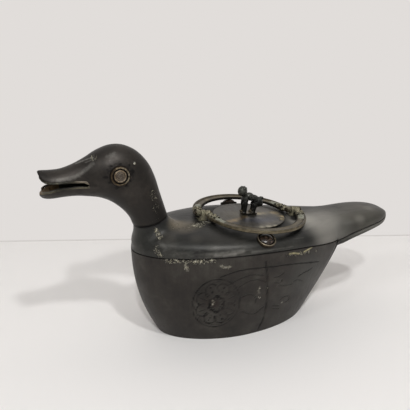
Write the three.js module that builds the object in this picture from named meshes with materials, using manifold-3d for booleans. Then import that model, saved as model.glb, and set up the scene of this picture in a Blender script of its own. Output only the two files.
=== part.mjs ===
// Duck-shaped pewter wine jug with a brass double swing handle and a round lid.
// Millimetres, +Z up. The bill points along -X and the tail along +X. The jug stands on z = 0.
import * as THREE from 'three';
import { mergeVertices } from 'three/addons/utils/BufferGeometryUtils.js';
import Module from 'manifold-3d';

const wasm = await Module();
wasm.setup();

// Clearances and walls
const GAP = 0.3; // between soldered or seated pieces
const WALL = 2.2; // sheet pewter of hull and back
const CAST_WALL = 3.2; // cast pewter of neck and head

// Foot
const FOOT_FRONT = -72;
const FOOT_REAR = 73;
const FOOT_MIDDLE = -3;
const FOOT_HALF_WIDTH = 37;
const FOOT_POWER = 1.9;
const BASE_THICKNESS = 2.4;

// Seam between hull and back. All heights from here to the eyes count from the hull's height.
const HULL_HEIGHT = 88; // floor to the seam amidships
const SEAM_FRONT = -93;
const SEAM_FRONT_RISE = -3.5;
const SEAM_REAR = 112;
const SEAM_MIDDLE = 0;
const SEAM_HALF_WIDTH = 53.5;
const SEAM_POWER = 1.85;
const HULL_BULGE_FRONT = 2.25;
const HULL_BULGE_REAR = 1.12;

// Stern and tail
const STERN_CORNER = 97; // where the tail's underside starts at the sides
const STERN_CORNER_RISE = -9.7;
const STERN_DEPTH = 10; // how far the stern rounds out behind that corner
const STERN_DROP = 10; // how far the stern's rim dips between the corners
const STERN_POWER = 3;
const TAIL_TIP = 165;
const TAIL_TIP_RISE = 2;
const TAIL_HALF_WIDTH = 27;
const TAIL_POWER = 2.2;
const TAIL_BLEND = 6;
const TIP_WALL = 8; // the tail's tip is solid this far
const UNDERPLATE_CORNER = 5; // side of the tail's plate that shows below the seam, at the stern
const UNDERPLATE_TIP = 1.4; // and at the tip

// Side view of the seam and of the back's crown, as [x, z]
const SEAM = [[SEAM_FRONT, SEAM_FRONT_RISE], [-50, -1], [0, 0], [50, -3.5], [STERN_CORNER, STERN_CORNER_RISE],
  [118, -5], [137, -1.8], [155, -0.2], [TAIL_TIP, TAIL_TIP_RISE]];
const CROWN = [[SEAM_FRONT, SEAM_FRONT_RISE], [-90, 4], [-84, 10.5], [-70, 15], [-50, 16.6], [-20, 15.9],
  [15, 13.3], [50, 10.6], [80, 9.4], [110, 9.2], [130, 9.8], [145, 9.2], [155, 7.4], [161, 5],
  [TAIL_TIP, TAIL_TIP_RISE]];
const BACK_POWER = 3.2;

// Deck: the sloping plane through the mouth's rim, which carries lid and handle
const DECK_X = 17.5;
const DECK_SLOPE = 0.08;
const COLLAR_RISE = 0.5; // the mouth's rim above the back

// Mouth and lid
const MOUTH_RADIUS = 28.5;
const COLLAR_WALL = 1.8;
const COLLAR_DEPTH = 7;
const FLANGE_CLEARANCE = 0.5;
const FLANGE_WALL = 1.4;
const FLANGE_DEPTH = 5.5;
const LID_OVERLAP = 2.7; // how far the lid reaches past the collar
const LID_EDGE = 1.1;
const LID_RISE = 1.1;

// Handle
const PIVOT_HEIGHT = 4.9; // hinge axis above the deck
const LID_ROOM = 1.8; // between the lid and the half rings along the hinge axis
const LID_SIDE_ROOM = 9.8; // and across it
const BAND_WIDTH = 8.5;
const BAND_THICKNESS = 2.4;
const BAND_DROP = 0.3; // band's top face below the hinge axis
const RIM_WIDTH = 1.7;
const RIM_RISE = 0.7;
const EAR_INSET = 3; // ear's middle inside the ring's outer end
const EAR_THICKNESS = 4;
const EAR_RADIUS = 3;
const EYE_LENGTH = 4;
const EYE_RADIUS = 2.5;
const SIDE_PLAY = 0.4;
const PIN_RADIUS = 1.1;
const PIN_PLAY = 0.25;
const PIN_HEAD_RADIUS = 2;
const PIN_HEAD = 1;
const LUG_FOOT = [9, 9, 1.3];
const LUG_SINK = 0.6;
const SNOUT_PLACE = 10; // from the hinge axis to the middle of a dragon's head
const SNOUT_WIDTH = 9.2;
const SNOUT_LENGTH = 12;
const SNOUT_RISE = 0.8; // above the band

// Shoulder studs
const STUD_X = 15;
const STUD_SHARE = 0.89; // how far out on the shoulder
const STUD_RADIUS = 8.2;
const STUD_WALL = 1.5;
const STUD_HEIGHT = 2.4;
const STUD_DOME = 2.3;
const STUD_SINK = 1;

// Eyes
const HEAD_EYE_X = -101.5;
const HEAD_EYE_RISE = 69.5;
const BEZEL_RADIUS = 8.4;
const BEZEL_WALL = 1.5;
const BEZEL_HEIGHT = 2.2;
const BEZEL_FLOOR = 0.8;
const BEZEL_SINK = 1.4;
const BEVEL = 0.6; // on the rims of all settings
const EYE_RING_RADIUS = 6.2;
const EYE_RING_WALL = 1.3;
const EYE_TILT = 0.12;

// Neck, head and bill: [throat x, throat z, crown x, crown z, half width]
const NECK_SEAM = [-90.4, 19.5, -60, 26, 16];
const NECK_STUB = [
  [-91.5, -2.8, -42, 9, 27],
  [-92.4, 5, -53, 18, 21.5],
  [-90, 13, -58, 23, 17.4],
  NECK_SEAM,
];
const BORE_FOOT_DROP = [6, 12]; // how far the bore reaches below the stub, at throat and nape
const NECK_AND_HEAD = [
  NECK_SEAM,
  [-93.2, 27, -63, 37, 15.3],
  [-98, 34, -66.3, 49, 15],
  [-104, 40, -69.6, 61.5, 15.9],
  [-110, 44.5, -75, 74, 17.4],
  [-115, 47, -84, 84.6, 18.6],
  [-119, 48.5, -95, 90.6, 18.9],
  [-123.5, 49.5, -106, 91.4, 18.2],
  [-128.5, 50.3, -117, 88, 16],
  [-133.5, 51, -127, 82.6, 13.2],
  [-139, 51.4, -137, 78, 12],
  [-147.5, 51.4, -147, 75, 12],
  [-156.5, 51, -156, 74.6, 12.2],
  [-162.3, 51.8, -162.6, 75.2, 9],
  [-165, 54, -165, 75, 4],
];
const HOLLOW_SECTIONS = 13; // how many of them are hollow, from the neck up

// The open bill in the side view, from the tip to the corner of the mouth, as [x, z]
const GAPE_UPPER = [[-168, 79], [-165.2, 74.2], [-164, 71.6], [-162.4, 69.6], [-160, 68.2],
  [-156, 67.5], [-150, 66.9], [-140, 66.8], [-130, 66.6], [-126, 64.8], [-123, 62]];
const GAPE_LOWER = [[-168, 56.4], [-165, 56.4], [-163.2, 57], [-160.5, 57.9], [-157, 58.5],
  [-151, 59.9], [-140, 60.2], [-126, 60.2], [-123, 60.2]];
const LIP_THICKNESS = 1.1;
const LIP_PROUD = 0.5;

// Knob: a standing lion-dog, [x, y, z] centres above the lid and radii
const KNOB_PLINTH = [19, 9, 1.4];
const KNOB_BODY = [
  [[1.6, 0, 15], [6.4, 3.9, 3.2]],
  [[-5.2, 0, 13.6], [3.6, 4.2, 6.4]],
  [[8, 0, 10.9], [4.4, 4.3, 4.9]],
  [[-8.3, 0, 21.7], [4.6, 4.3, 4.9]],
  [[-10.9, 0, 20.4], [2, 2.6, 2.2]],
  [[11.4, 0, 13.6], [1.9, 1.7, 2.4]],
];
const KNOB_LEGS = [[-5.2, 2.7, 2], [3.2, 2.6, 2.1]];
const RIVET_RADIUS = 1.5;
const RIVET_GRIP = 1.1; // into the knob
const RIVET_HEAD = [4, 1];

// Facets
const OVAL_POINTS = 24;
const BORE_POINTS = 16;
const RING_SIDES = 40;
const STUD_SIDES = 20;
const EYE_SIDES = 16;

const clamp = (value, low, high) => Math.min(Math.max(value, low), high);

// smooth value along x through points given as [x, value]
function through(points) {
  const end = points.length - 1;
  const slope = (i) => {
    const before = points[Math.max(i - 1, 0)];
    const after = points[Math.min(i + 1, end)];
    return (after[1] - before[1]) / (after[0] - before[0]);
  };
  return (x) => {
    let i = 0;
    while (i < end - 1 && x > points[i + 1][0]) i += 1;
    const step = points[i + 1][0] - points[i][0];
    const t = clamp((x - points[i][0]) / step, 0, 1);
    const rise = points[i + 1][1] - points[i][1];
    const a = slope(i) * step - rise;
    const b = rise - slope(i + 1) * step;
    return points[i][1] + t * rise + t * (1 - t) * (a * (1 - t) + b * t);
  };
}

// half width of a superellipse that runs from front to rear and is widest at the middle
function halfWidth(x, front, middle, rear, width, power) {
  const along = x > middle ? (x - middle) / (rear - middle) : (middle - x) / (middle - front);
  return width * Math.max(1 - clamp(along, 0, 1) ** power, 0) ** (1 / power);
}

// a size reduced by a wall, which thins out where the size itself runs to nothing
const inset = (size, wall) => (size > 0 ? size * size / (size + wall) : 0);

// positions along x from front to rear, crowded towards both ends
function stations(front, rear, count) {
  const middle = (front + rear) / 2;
  const reach = (rear - front) / 2;
  return Array.from({ length: count + 1 }, (_, i) => middle - reach * Math.cos(Math.PI * i / count));
}

function indexed(positions, triangles) {
  const geometry = new THREE.BufferGeometry();
  geometry.setAttribute('position', new THREE.Float32BufferAttribute(positions, 3));
  geometry.setIndex(triangles);
  return cleaned(geometry);
}

// keeps only positions, merges equal ones and drops triangles that closed up
function cleaned(source) {
  const geometry = source.clone();
  for (const name of Object.keys(geometry.attributes)) {
    if (name !== 'position') geometry.deleteAttribute(name);
  }
  const merged = mergeVertices(geometry, 1e-4);
  const index = merged.index.array;
  const kept = [];
  for (let i = 0; i < index.length; i += 3) {
    const [a, b, c] = [index[i], index[i + 1], index[i + 2]];
    if (a !== b && b !== c && a !== c) kept.push(a, b, c);
  }
  merged.setIndex(kept);
  return merged;
}

// skin over loops of equally many points; the ends are 'capped', 'closed' where a loop has
// shrunk to nothing, or 'joined' where the last loop meets the first
function skin(loops, ends) {
  const count = loops[0].length;
  const positions = loops.flat().flatMap((point) => [point.x, point.y, point.z]);
  const triangles = [];
  const rows = ends === 'joined' ? loops.length : loops.length - 1;
  for (let row = 0; row < rows; row += 1) {
    const next = (row + 1) % loops.length;
    for (let i = 0; i < count; i += 1) {
      const j = (i + 1) % count;
      const [a, b, c, d] = [row * count + i, row * count + j, next * count + j, next * count + i];
      triangles.push(a, b, c, a, c, d);
    }
  }
  for (const row of ends === 'capped' ? [0, loops.length - 1] : []) {
    const centre = loops[row].reduce((sum, point) => sum.add(point), new THREE.Vector3()).divideScalar(count);
    const hub = positions.length / 3;
    positions.push(centre.x, centre.y, centre.z);
    for (let i = 0; i < count; i += 1) {
      const [from, to] = row === 0 ? [(i + 1) % count, i] : [i, (i + 1) % count];
      triangles.push(hub, row * count + from, row * count + to);
    }
  }
  return outward(indexed(positions, triangles));
}

function volume(geometry) {
  const points = geometry.attributes.position;
  const index = geometry.index.array;
  const [a, b, c] = [new THREE.Vector3(), new THREE.Vector3(), new THREE.Vector3()];
  let total = 0;
  for (let i = 0; i < index.length; i += 3) {
    a.fromBufferAttribute(points, index[i]);
    b.fromBufferAttribute(points, index[i + 1]);
    c.fromBufferAttribute(points, index[i + 2]);
    total += a.dot(b.cross(c)) / 6;
  }
  return total;
}

// turns all faces round when they point inwards
function outward(geometry) {
  if (volume(geometry) < 0) {
    const index = geometry.index.array;
    for (let i = 0; i < index.length; i += 3) [index[i], index[i + 1]] = [index[i + 1], index[i]];
  }
  return geometry;
}

function solid(geometry) {
  const closed = cleaned(geometry);
  return new wasm.Manifold(new wasm.Mesh({
    numProp: 3,
    vertProperties: new Float32Array(closed.attributes.position.array),
    triVerts: new Uint32Array(closed.index.array),
  }));
}

function geometryOf(manifold) {
  const mesh = manifold.getMesh();
  const geometry = new THREE.BufferGeometry();
  geometry.setAttribute('position', new THREE.BufferAttribute(new Float32Array(mesh.vertProperties), 3));
  geometry.setIndex(new THREE.BufferAttribute(new Uint32Array(mesh.triVerts), 1));
  return geometry;
}

function boxSolid(size, centre) {
  return solid(new THREE.BoxGeometry(...size).translate(...centre));
}

function ballSolid(centre, radii, around = 12, down = 6) {
  return solid(new THREE.SphereGeometry(1, around, down).scale(...radii).translate(...centre));
}

// round bar along the X axis
function barSolid(radius, from, to, z, sides = 16) {
  const bar = new THREE.CylinderGeometry(radius, radius, to - from, sides);
  return solid(bar.rotateZ(Math.PI / 2).translate((from + to) / 2, 0, z));
}

// round body about +Z from an outline of [radius, height] points
function turned(outline, segments) {
  const points = outline.map(([radius, height]) => new THREE.Vector2(radius, height));
  return outward(cleaned(new THREE.LatheGeometry(points, segments).rotateX(Math.PI / 2)));
}

function ringOutline(inner, outer, low, high) {
  return [[inner, low], [outer, low], [outer, high], [inner, high], [inner, low]];
}

// Hull, base and back
const lifted = (points) => points.map(([x, rise]) => [x, HULL_HEIGHT + rise]);
const seamHeight = through(lifted(SEAM));
const crownHeight = through(lifted(CROWN));

function backHalfWidth(x) {
  const body = halfWidth(x, SEAM_FRONT, SEAM_MIDDLE, SEAM_REAR, SEAM_HALF_WIDTH, SEAM_POWER);
  const tail = halfWidth(x, SEAM_FRONT, STERN_CORNER, TAIL_TIP, TAIL_HALF_WIDTH, TAIL_POWER);
  const tailShare = x > STERN_CORNER ? tail : TAIL_HALF_WIDTH * clamp(body / TAIL_HALF_WIDTH, 0, 1);
  return x > SEAM_MIDDLE ? (body ** TAIL_BLEND + tailShare ** TAIL_BLEND) ** (1 / TAIL_BLEND) : body;
}

// height of the back's outer face
function backHeight(x, y) {
  const rim = seamHeight(x);
  const across = clamp(Math.abs(y) / backHalfWidth(x), 0, 1);
  return rim + (crownHeight(x) - rim) * (1 - across ** BACK_POWER) ** (1 / BACK_POWER);
}

// closed loop from one side's [x, half width] list, mirrored to the other side
function mirrored(side, place) {
  const near = side.map(([x, y]) => place(x, -y));
  const far = side.slice(1, -1).reverse().map(([x, y]) => place(x, y));
  return [...near, ...far];
}

const sternHalfWidth = backHalfWidth(STERN_CORNER);
const sternEnd = STERN_CORNER + STERN_DEPTH;

function hullHalfWidth(x) {
  if (x < STERN_CORNER) return backHalfWidth(x);
  return sternHalfWidth * Math.sqrt(Math.max(1 - ((x - STERN_CORNER) / STERN_DEPTH) ** 2, 0));
}

// height of the stern's rim, under the tail's plate
function sternRim(y) {
  const share = clamp(Math.abs(y) / sternHalfWidth, 0, 1);
  return seamHeight(STERN_CORNER) - UNDERPLATE_CORNER - STERN_DROP * (1 - share ** STERN_POWER);
}

// point of the hull's wall, at a share of its height, reduced by a wall
function hullPoint(x, y, share, wall) {
  const reach = x > SEAM_MIDDLE ? sternEnd - SEAM_MIDDLE : SEAM_MIDDLE - SEAM_FRONT;
  const along = (x - SEAM_MIDDLE) / reach;
  const footReach = along > 0 ? FOOT_REAR - FOOT_MIDDLE : FOOT_MIDDLE - FOOT_FRONT;
  const footY = FOOT_HALF_WIDTH * Math.max(1 - Math.abs(along) ** FOOT_POWER, 0) ** (1 / FOOT_POWER);
  const bulge = HULL_BULGE_FRONT + (HULL_BULGE_REAR - HULL_BULGE_FRONT) * (along + 1) / 2;
  const out = 1 - (1 - share) ** bulge;
  const rimX = SEAM_MIDDLE + along * (reach - wall);
  const footX = FOOT_MIDDLE + along * (footReach - wall);
  const rimY = Math.sign(y) * inset(Math.abs(y), wall);
  return new THREE.Vector3(
    footX + (rimX - footX) * out,
    Math.sign(y) * inset(footY, wall) * (1 - out) + rimY * out,
    share * (seamHeight(Math.min(x, STERN_CORNER)) - GAP / 2),
  );
}

const hullStations = stations(SEAM_FRONT, sternEnd, 28);

function hullLoop(share, wall) {
  const side = hullStations.map((x) => [x, hullHalfWidth(x)]);
  return mirrored(side, (x, y) => hullPoint(x, y, share, wall));
}

// cutter that lowers the stern's rim by the tail's plate
function sternCutter() {
  const steps = 16;
  const rim = Array.from({ length: steps + 1 }, (_, i) => sternHalfWidth * 1.2 * (2 * i / steps - 1));
  const low = rim.map((y) => new THREE.Vector2(y, sternRim(y) - GAP / 2));
  const high = [rim[steps], rim[0]].map((y) => new THREE.Vector2(y, 2 * HULL_HEIGHT));
  const axes = [new THREE.Vector3(0, 1, 0), new THREE.Vector3(0, 0, 1), new THREE.Vector3(1, 0, 0)];
  const shape = new THREE.Shape([...low, ...high]);
  const cutter = new THREE.ExtrudeGeometry(shape, { depth: 2 * STERN_DEPTH, bevelEnabled: false });
  return solid(cutter.applyMatrix4(new THREE.Matrix4().makeBasis(...axes).setPosition(STERN_CORNER, 0, 0)));
}

function hullGeometry() {
  const outer = [0, 0.08, 0.2, 0.36, 0.54, 0.76, 1].map((share) => hullLoop(share, 0));
  const inner = [1, 0.6, 0.3, 0.12, 0].map((share) => hullLoop(share, WALL));
  return geometryOf(solid(skin([...outer, ...inner], 'joined')).subtract(sternCutter()));
}

function baseGeometry() {
  const low = hullLoop(0, WALL + GAP);
  const high = low.map((point) => new THREE.Vector3(point.x, point.y, BASE_THICKNESS));
  return skin([low, high], 'capped');
}

// neck sections as loops: an oval through the throat and crown points
function ovalLoop([throatX, throatZ, crownX, crownZ, half], wall = 0, count = OVAL_POINTS) {
  const centre = new THREE.Vector3((throatX + crownX) / 2, 0, HULL_HEIGHT + (throatZ + crownZ) / 2);
  const up = new THREE.Vector3(crownX - throatX, 0, crownZ - throatZ).multiplyScalar(0.5);
  const scale = inset(up.length(), wall) / up.length();
  return Array.from({ length: count }, (_, i) => {
    const angle = 2 * Math.PI * i / count;
    const point = centre.clone().addScaledVector(up, scale * Math.cos(angle));
    return point.setY(inset(half, wall) * Math.sin(angle));
  });
}

// sections between the given ones, so the form flows
function smoothSections(sections, perStep) {
  const columns = sections[0].map((_, column) => through(sections.map((section, i) => [i, section[column]])));
  const count = (sections.length - 1) * perStep;
  return Array.from({ length: count + 1 }, (_, i) => columns.map((column) => column(i / perStep)));
}

// a section moved along the neck by a distance
function shifted([throatX, throatZ, crownX, crownZ, half], distance) {
  const length = Math.hypot(crownX - throatX, crownZ - throatZ);
  const [dx, dz] = [-(crownZ - throatZ) / length * distance, (crownX - throatX) / length * distance];
  return [throatX + dx, throatZ + dz, crownX + dx, crownZ + dz, half];
}

// where the inner face of the back lies for a place on its outer face
function innerX(x) {
  if (x > DECK_X) return x - TIP_WALL * (x - DECK_X) / (TAIL_TIP - DECK_X);
  return x + WALL * (DECK_X - x) / (DECK_X - SEAM_FRONT);
}

// one arch of the back from its near rim over the crown to its far rim
function backArch(x, wall) {
  const steps = 14;
  const rim = seamHeight(x);
  const half = inset(backHalfWidth(x), wall);
  const rise = inset(crownHeight(x) - rim, wall);
  return Array.from({ length: steps + 1 }, (_, i) => {
    const turn = Math.PI * i / steps;
    const y = -half * Math.sign(Math.cos(turn)) * Math.abs(Math.cos(turn)) ** (2 / BACK_POWER);
    const z = rim + GAP / 2 + rise * Math.sin(turn) ** (2 / BACK_POWER);
    return new THREE.Vector3(wall ? innerX(x) : x, y, z);
  });
}

function backDome() {
  const ring = (x) => [...backArch(x, 0), ...backArch(x, WALL).reverse()];
  return solid(skin(stations(SEAM_FRONT, TAIL_TIP, 28).map(ring), 'closed'));
}

const deckTurn = Math.atan(DECK_SLOPE);
const deckHeight = crownHeight(DECK_X) + COLLAR_RISE;
const deckMatrix = new THREE.Matrix4().makeRotationY(deckTurn).setPosition(DECK_X, 0, deckHeight);
const collarOuter = MOUTH_RADIUS + COLLAR_WALL;
const lidRadius = collarOuter + LID_OVERLAP;
const eyeOffset = EAR_THICKNESS / 2 + SIDE_PLAY + EYE_LENGTH / 2;
const handleReach = lidRadius + LID_ROOM + eyeOffset + BAND_WIDTH;
const handleSpan = lidRadius + LID_SIDE_ROOM + BAND_WIDTH;
const earX = handleReach - EAR_INSET;

// height of the back's face below the deck, at a place along the deck
function backBelowDeck(deckX, deckY = 0) {
  const point = new THREE.Vector3(deckX, deckY, 0).applyMatrix4(deckMatrix);
  return (backHeight(point.x, point.y) - point.z) / Math.cos(deckTurn);
}

function lugFootBox(side, clearance) {
  const x = side * earX;
  const bottom = backBelowDeck(x) - LUG_SINK;
  const size = LUG_FOOT.map((length) => length + 2 * clearance);
  return { size, centre: [x, 0, bottom + LUG_FOOT[2] / 2] };
}

// where a stud sits on the shoulder: place and outward direction
function studSeat(side) {
  const step = 0.5;
  const studY = STUD_SHARE * backHalfWidth(STUD_X);
  const at = (dx, dy) => backHeight(STUD_X + dx, studY + dy);
  const [alongX, alongY] = [at(-step, 0) - at(step, 0), at(0, -step) - at(0, step)];
  const normal = new THREE.Vector3(alongX, alongY, 2 * step).normalize();
  const place = new THREE.Vector3(STUD_X, studY, at(0, 0)).addScaledVector(normal, -STUD_SINK);
  return { place: place.setY(side * place.y), normal: normal.setY(side * normal.y) };
}

function seatMatrix({ place, normal }) {
  const turn = new THREE.Quaternion().setFromUnitVectors(new THREE.Vector3(0, 0, 1), normal);
  return new THREE.Matrix4().makeRotationFromQuaternion(turn).setPosition(place);
}

// cutter for the pocket that a round setting sits in
function pocket(radius, seat, sides) {
  const depth = radius;
  const cutter = new THREE.CylinderGeometry(radius + GAP, radius + GAP, depth, sides).rotateX(Math.PI / 2);
  return solid(cutter.translate(0, 0, depth / 2 - GAP).applyMatrix4(seatMatrix(seat)));
}

// cutter for the round mouth, upright on the deck
function mouthCutter() {
  const radius = collarOuter + GAP;
  const cutter = new THREE.CylinderGeometry(radius, radius, 2 * radius, RING_SIDES).rotateX(Math.PI / 2);
  return solid(cutter.applyMatrix4(deckMatrix));
}

function backGeometry() {
  const stubTop = shifted(NECK_STUB.at(-1), -GAP / 2);
  const stub = smoothSections([...NECK_STUB.slice(0, -1), stubTop], 2);
  const stubSolid = solid(skin(stub.map((section) => ovalLoop(section)), 'capped'));
  const boreSections = [...stub, shifted(stubTop, 1)].map((section) => ovalLoop(section, CAST_WALL));
  const [throatX, throatZ, crownX, crownZ, half] = stub[0];
  const foot = [throatX, throatZ - BORE_FOOT_DROP[0], crownX, crownZ - BORE_FOOT_DROP[1], half];
  const boreFoot = ovalLoop(foot, CAST_WALL);
  const bore = solid(skin([boreFoot, ...boreSections], 'capped'));
  let back = backDome().add(stubSolid).subtract(bore).subtract(mouthCutter());
  for (const side of [-1, 1]) {
    const { size, centre } = lugFootBox(side, GAP);
    const cutter = new THREE.BoxGeometry(...size).translate(...centre).applyMatrix4(deckMatrix);
    back = back.subtract(solid(cutter)).subtract(pocket(STUD_RADIUS, studSeat(side), STUD_SIDES));
  }
  return geometryOf(back);
}

// plate under the tail, from the stern's rim out to the tail's edge
function underplateGeometry() {
  const count = 10;
  const start = STERN_CORNER + GAP;
  const column = (turn, side) => {
    const onHull = STERN_CORNER + STERN_DEPTH * Math.sin(turn);
    const rimY = sternHalfWidth * Math.cos(turn);
    const share = sternRim(rimY) / seamHeight(STERN_CORNER);
    const [stern, inside] = [0, WALL].map((wall) => hullPoint(onHull, rimY, share, wall));
    const edgeX = start + (TAIL_TIP - start) * Math.sin(turn) ** 1.2;
    const along = (edgeX - start) / (TAIL_TIP - start);
    const cornerShare = Math.sqrt(Math.max(1 - along ** 2, 0));
    const depth = UNDERPLATE_TIP + (UNDERPLATE_CORNER - UNDERPLATE_TIP) * cornerShare;
    const edgeY = turn < Math.PI / 2 ? backHalfWidth(edgeX) : 0;
    const low = [inside, stern].map((point) => new THREE.Vector3(
      Math.max(point.x, start),
      side * point.y,
      sternRim(rimY) + GAP / 2,
    ));
    const edge = new THREE.Vector3(edgeX, side * edgeY, seamHeight(edgeX) - depth);
    const high = [...low.map((point) => point.clone().setZ(point.z + UNDERPLATE_CORNER - GAP)),
      edge.clone().setZ(seamHeight(edgeX) - GAP / 2)];
    return [...low, edge, ...high.reverse()];
  };
  const turns = Array.from({ length: count + 1 }, (_, i) => Math.PI / 2 * i / count);
  const far = turns.slice(0, -1).reverse().map((turn) => column(turn, 1));
  return skin([...turns.map((turn) => column(turn, -1)), ...far], 'capped');
}

// Neck, head and bill
function gapeShape(points) {
  return new THREE.Shape(points.map(([x, rise]) => new THREE.Vector2(x, HULL_HEIGHT + rise)));
}

// a side outline in x and z, extruded across the whole bill
function across(shape) {
  const depth = 2 * SEAM_HALF_WIDTH;
  const geometry = new THREE.ExtrudeGeometry(shape, { depth, bevelEnabled: false });
  return solid(geometry.translate(0, 0, -depth / 2).rotateX(Math.PI / 2));
}

const headSections = smoothSections([shifted(NECK_SEAM, GAP / 2), ...NECK_AND_HEAD.slice(1)], 2);

// half width of the head at a place in the side view
function headHalfWidth(x, rise) {
  const places = headSections.map(([throatX, throatZ, crownX, crownZ, half]) => {
    const [dx, dz] = [crownX - throatX, crownZ - throatZ];
    const length = Math.hypot(dx, dz);
    const up = 2 * ((x - throatX) * dx + (rise - throatZ) * dz) / length ** 2 - 1;
    const ahead = ((x - throatX) * dz - (rise - throatZ) * dx) / length;
    return { ahead, width: half * Math.sqrt(Math.max(1 - up ** 2, 0)) };
  });
  const next = places.findIndex(({ ahead }, i) => i > 0 && ahead * places[i - 1].ahead <= 0);
  const [a, b] = [places[next - 1], places[next]];
  return a.width + (b.width - a.width) * a.ahead / (a.ahead - b.ahead);
}

function eyeSeat(side) {
  const normal = new THREE.Vector3(0, side * Math.cos(EYE_TILT), Math.sin(EYE_TILT));
  const y = side * headHalfWidth(HEAD_EYE_X, HEAD_EYE_RISE);
  const surface = new THREE.Vector3(HEAD_EYE_X, y, HULL_HEIGHT + HEAD_EYE_RISE);
  return { place: surface.addScaledVector(normal, -BEZEL_SINK), normal };
}

function headHollow() {
  const sections = NECK_AND_HEAD.slice(0, HOLLOW_SECTIONS);
  const hollow = sections.map((section) => ovalLoop(section, CAST_WALL, BORE_POINTS));
  const opening = ovalLoop(shifted(NECK_SEAM, -2), CAST_WALL, BORE_POINTS);
  return solid(skin([opening, ...hollow], 'capped'));
}

function headGeometry() {
  let head = solid(skin(headSections.map((section) => ovalLoop(section)), 'capped'));
  const gape = across(gapeShape([...GAPE_UPPER, ...GAPE_LOWER.slice().reverse()]));
  head = head.subtract(headHollow()).subtract(gape);
  for (const side of [-1, 1]) head = head.subtract(pocket(BEZEL_RADIUS, eyeSeat(side), EYE_SIDES));
  return geometryOf(head);
}

// brass lip: a strip that lines one edge of the gape on both sides and round the tip
function lipGeometry(upper) {
  const edge = (upper ? GAPE_UPPER : GAPE_LOWER).slice(2, -1);
  const inward = upper ? -1 : 1;
  const near = edge.map(([x, z]) => [x, z + inward * GAP]);
  const far = edge.map(([x, z]) => [x, z + inward * (GAP + LIP_THICKNESS)]).reverse();
  const proud = headSections.map((section) => ovalLoop([...section.slice(0, 4), section[4] + LIP_PROUD]));
  const strip = across(gapeShape([...near, ...far])).intersect(solid(skin(proud, 'capped')));
  return geometryOf(strip.subtract(headHollow()));
}

function eyeBezelGeometry() {
  const inner = BEZEL_RADIUS - BEZEL_WALL;
  const top = BEZEL_FLOOR + BEZEL_HEIGHT;
  return turned([[0, 0], [BEZEL_RADIUS, 0], [BEZEL_RADIUS, top - BEVEL], [BEZEL_RADIUS - BEVEL, top],
    [inner, top], [inner, BEZEL_FLOOR], [0, BEZEL_FLOOR]], EYE_SIDES);
}

function eyeRingGeometry() {
  const inner = EYE_RING_RADIUS - EYE_RING_WALL;
  const low = BEZEL_FLOOR + GAP;
  const high = low + BEZEL_HEIGHT;
  return turned([[inner, low], [EYE_RING_RADIUS, low], [EYE_RING_RADIUS, high - BEVEL],
    [EYE_RING_RADIUS - BEVEL, high], [inner, high], [inner, low]], EYE_SIDES);
}

function domeOutline(radius, low, edge, rise) {
  const steps = 4;
  const dome = Array.from({ length: steps }, (_, i) => {
    const turn = Math.PI / 2 * i / steps;
    return [radius * Math.cos(turn), edge + rise * Math.sin(turn)];
  });
  return [[0, low], [radius, low], ...dome, [0, edge + rise]];
}

function eyeStoneGeometry() {
  const radius = EYE_RING_RADIUS - EYE_RING_WALL - GAP;
  const low = BEZEL_FLOOR + GAP;
  return turned(domeOutline(radius, low, low + BEZEL_HEIGHT / 2, BEZEL_HEIGHT / 2), EYE_SIDES);
}

// Shoulder studs
function studBezelGeometry() {
  const inner = STUD_RADIUS - STUD_WALL;
  const top = STUD_SINK + STUD_HEIGHT;
  return turned([[0, 0], [STUD_RADIUS, 0], [STUD_RADIUS, top - BEVEL], [STUD_RADIUS - BEVEL, top],
    [inner, top], [inner, STUD_SINK], [0, STUD_SINK]], STUD_SIDES);
}

function studStoneGeometry() {
  const low = STUD_SINK + GAP;
  const radius = STUD_RADIUS - STUD_WALL - GAP;
  return turned(domeOutline(radius, low, low + STUD_HEIGHT / 2, STUD_DOME), STUD_SIDES);
}

// Mouth, lid and knob, in the deck's frame
const lidUnder = GAP;
const lidTop = lidUnder + LID_EDGE;

function collarGeometry() {
  return turned(ringOutline(MOUTH_RADIUS, collarOuter, -COLLAR_DEPTH, 0), RING_SIDES);
}

// flat plate with a shallow crown and a hole for the knob's rivet
function lidGeometry() {
  const hole = RIVET_RADIUS + GAP;
  const crown = [0.85, 0.65, 0.4, 0].map((share) => [
    hole + (lidRadius - hole) * share,
    lidTop + LID_RISE * (1 - share ** 2),
  ]);
  return turned([[hole, lidUnder], [lidRadius - 0.4, lidUnder], [lidRadius, lidUnder + 0.4],
    [lidRadius, lidTop - 0.3], [lidRadius - 0.4, lidTop], ...crown, [hole, lidUnder]], RING_SIDES);
}

function flangeGeometry() {
  const outer = MOUTH_RADIUS - FLANGE_CLEARANCE;
  const top = lidUnder - GAP;
  return turned(ringOutline(outer - FLANGE_WALL, outer, top - FLANGE_DEPTH, top), RING_SIDES);
}

const plinthBottom = lidTop + LID_RISE + GAP;

function knobGeometry() {
  let knob = boxSolid(KNOB_PLINTH, [0, 0, plinthBottom + KNOB_PLINTH[2] / 2]);
  for (const [[x, y, z], radii] of KNOB_BODY) knob = knob.add(ballSolid([x, y, z + plinthBottom], radii));
  const [low, high] = [plinthBottom + KNOB_PLINTH[2] / 2, plinthBottom + KNOB_BODY[0][0][2]];
  for (const [x, y, radius] of KNOB_LEGS) {
    for (const side of [-1, 1]) {
      const leg = new THREE.CylinderGeometry(radius, radius, high - low, 10).rotateX(Math.PI / 2);
      knob = knob.add(solid(leg.translate(x, side * y, (high + low) / 2)));
    }
  }
  const socket = new THREE.CylinderGeometry(RIVET_RADIUS + GAP, RIVET_RADIUS + GAP, 2 * RIVET_GRIP, 20);
  return geometryOf(knob.subtract(solid(socket.rotateX(Math.PI / 2).translate(0, 0, plinthBottom))));
}

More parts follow.
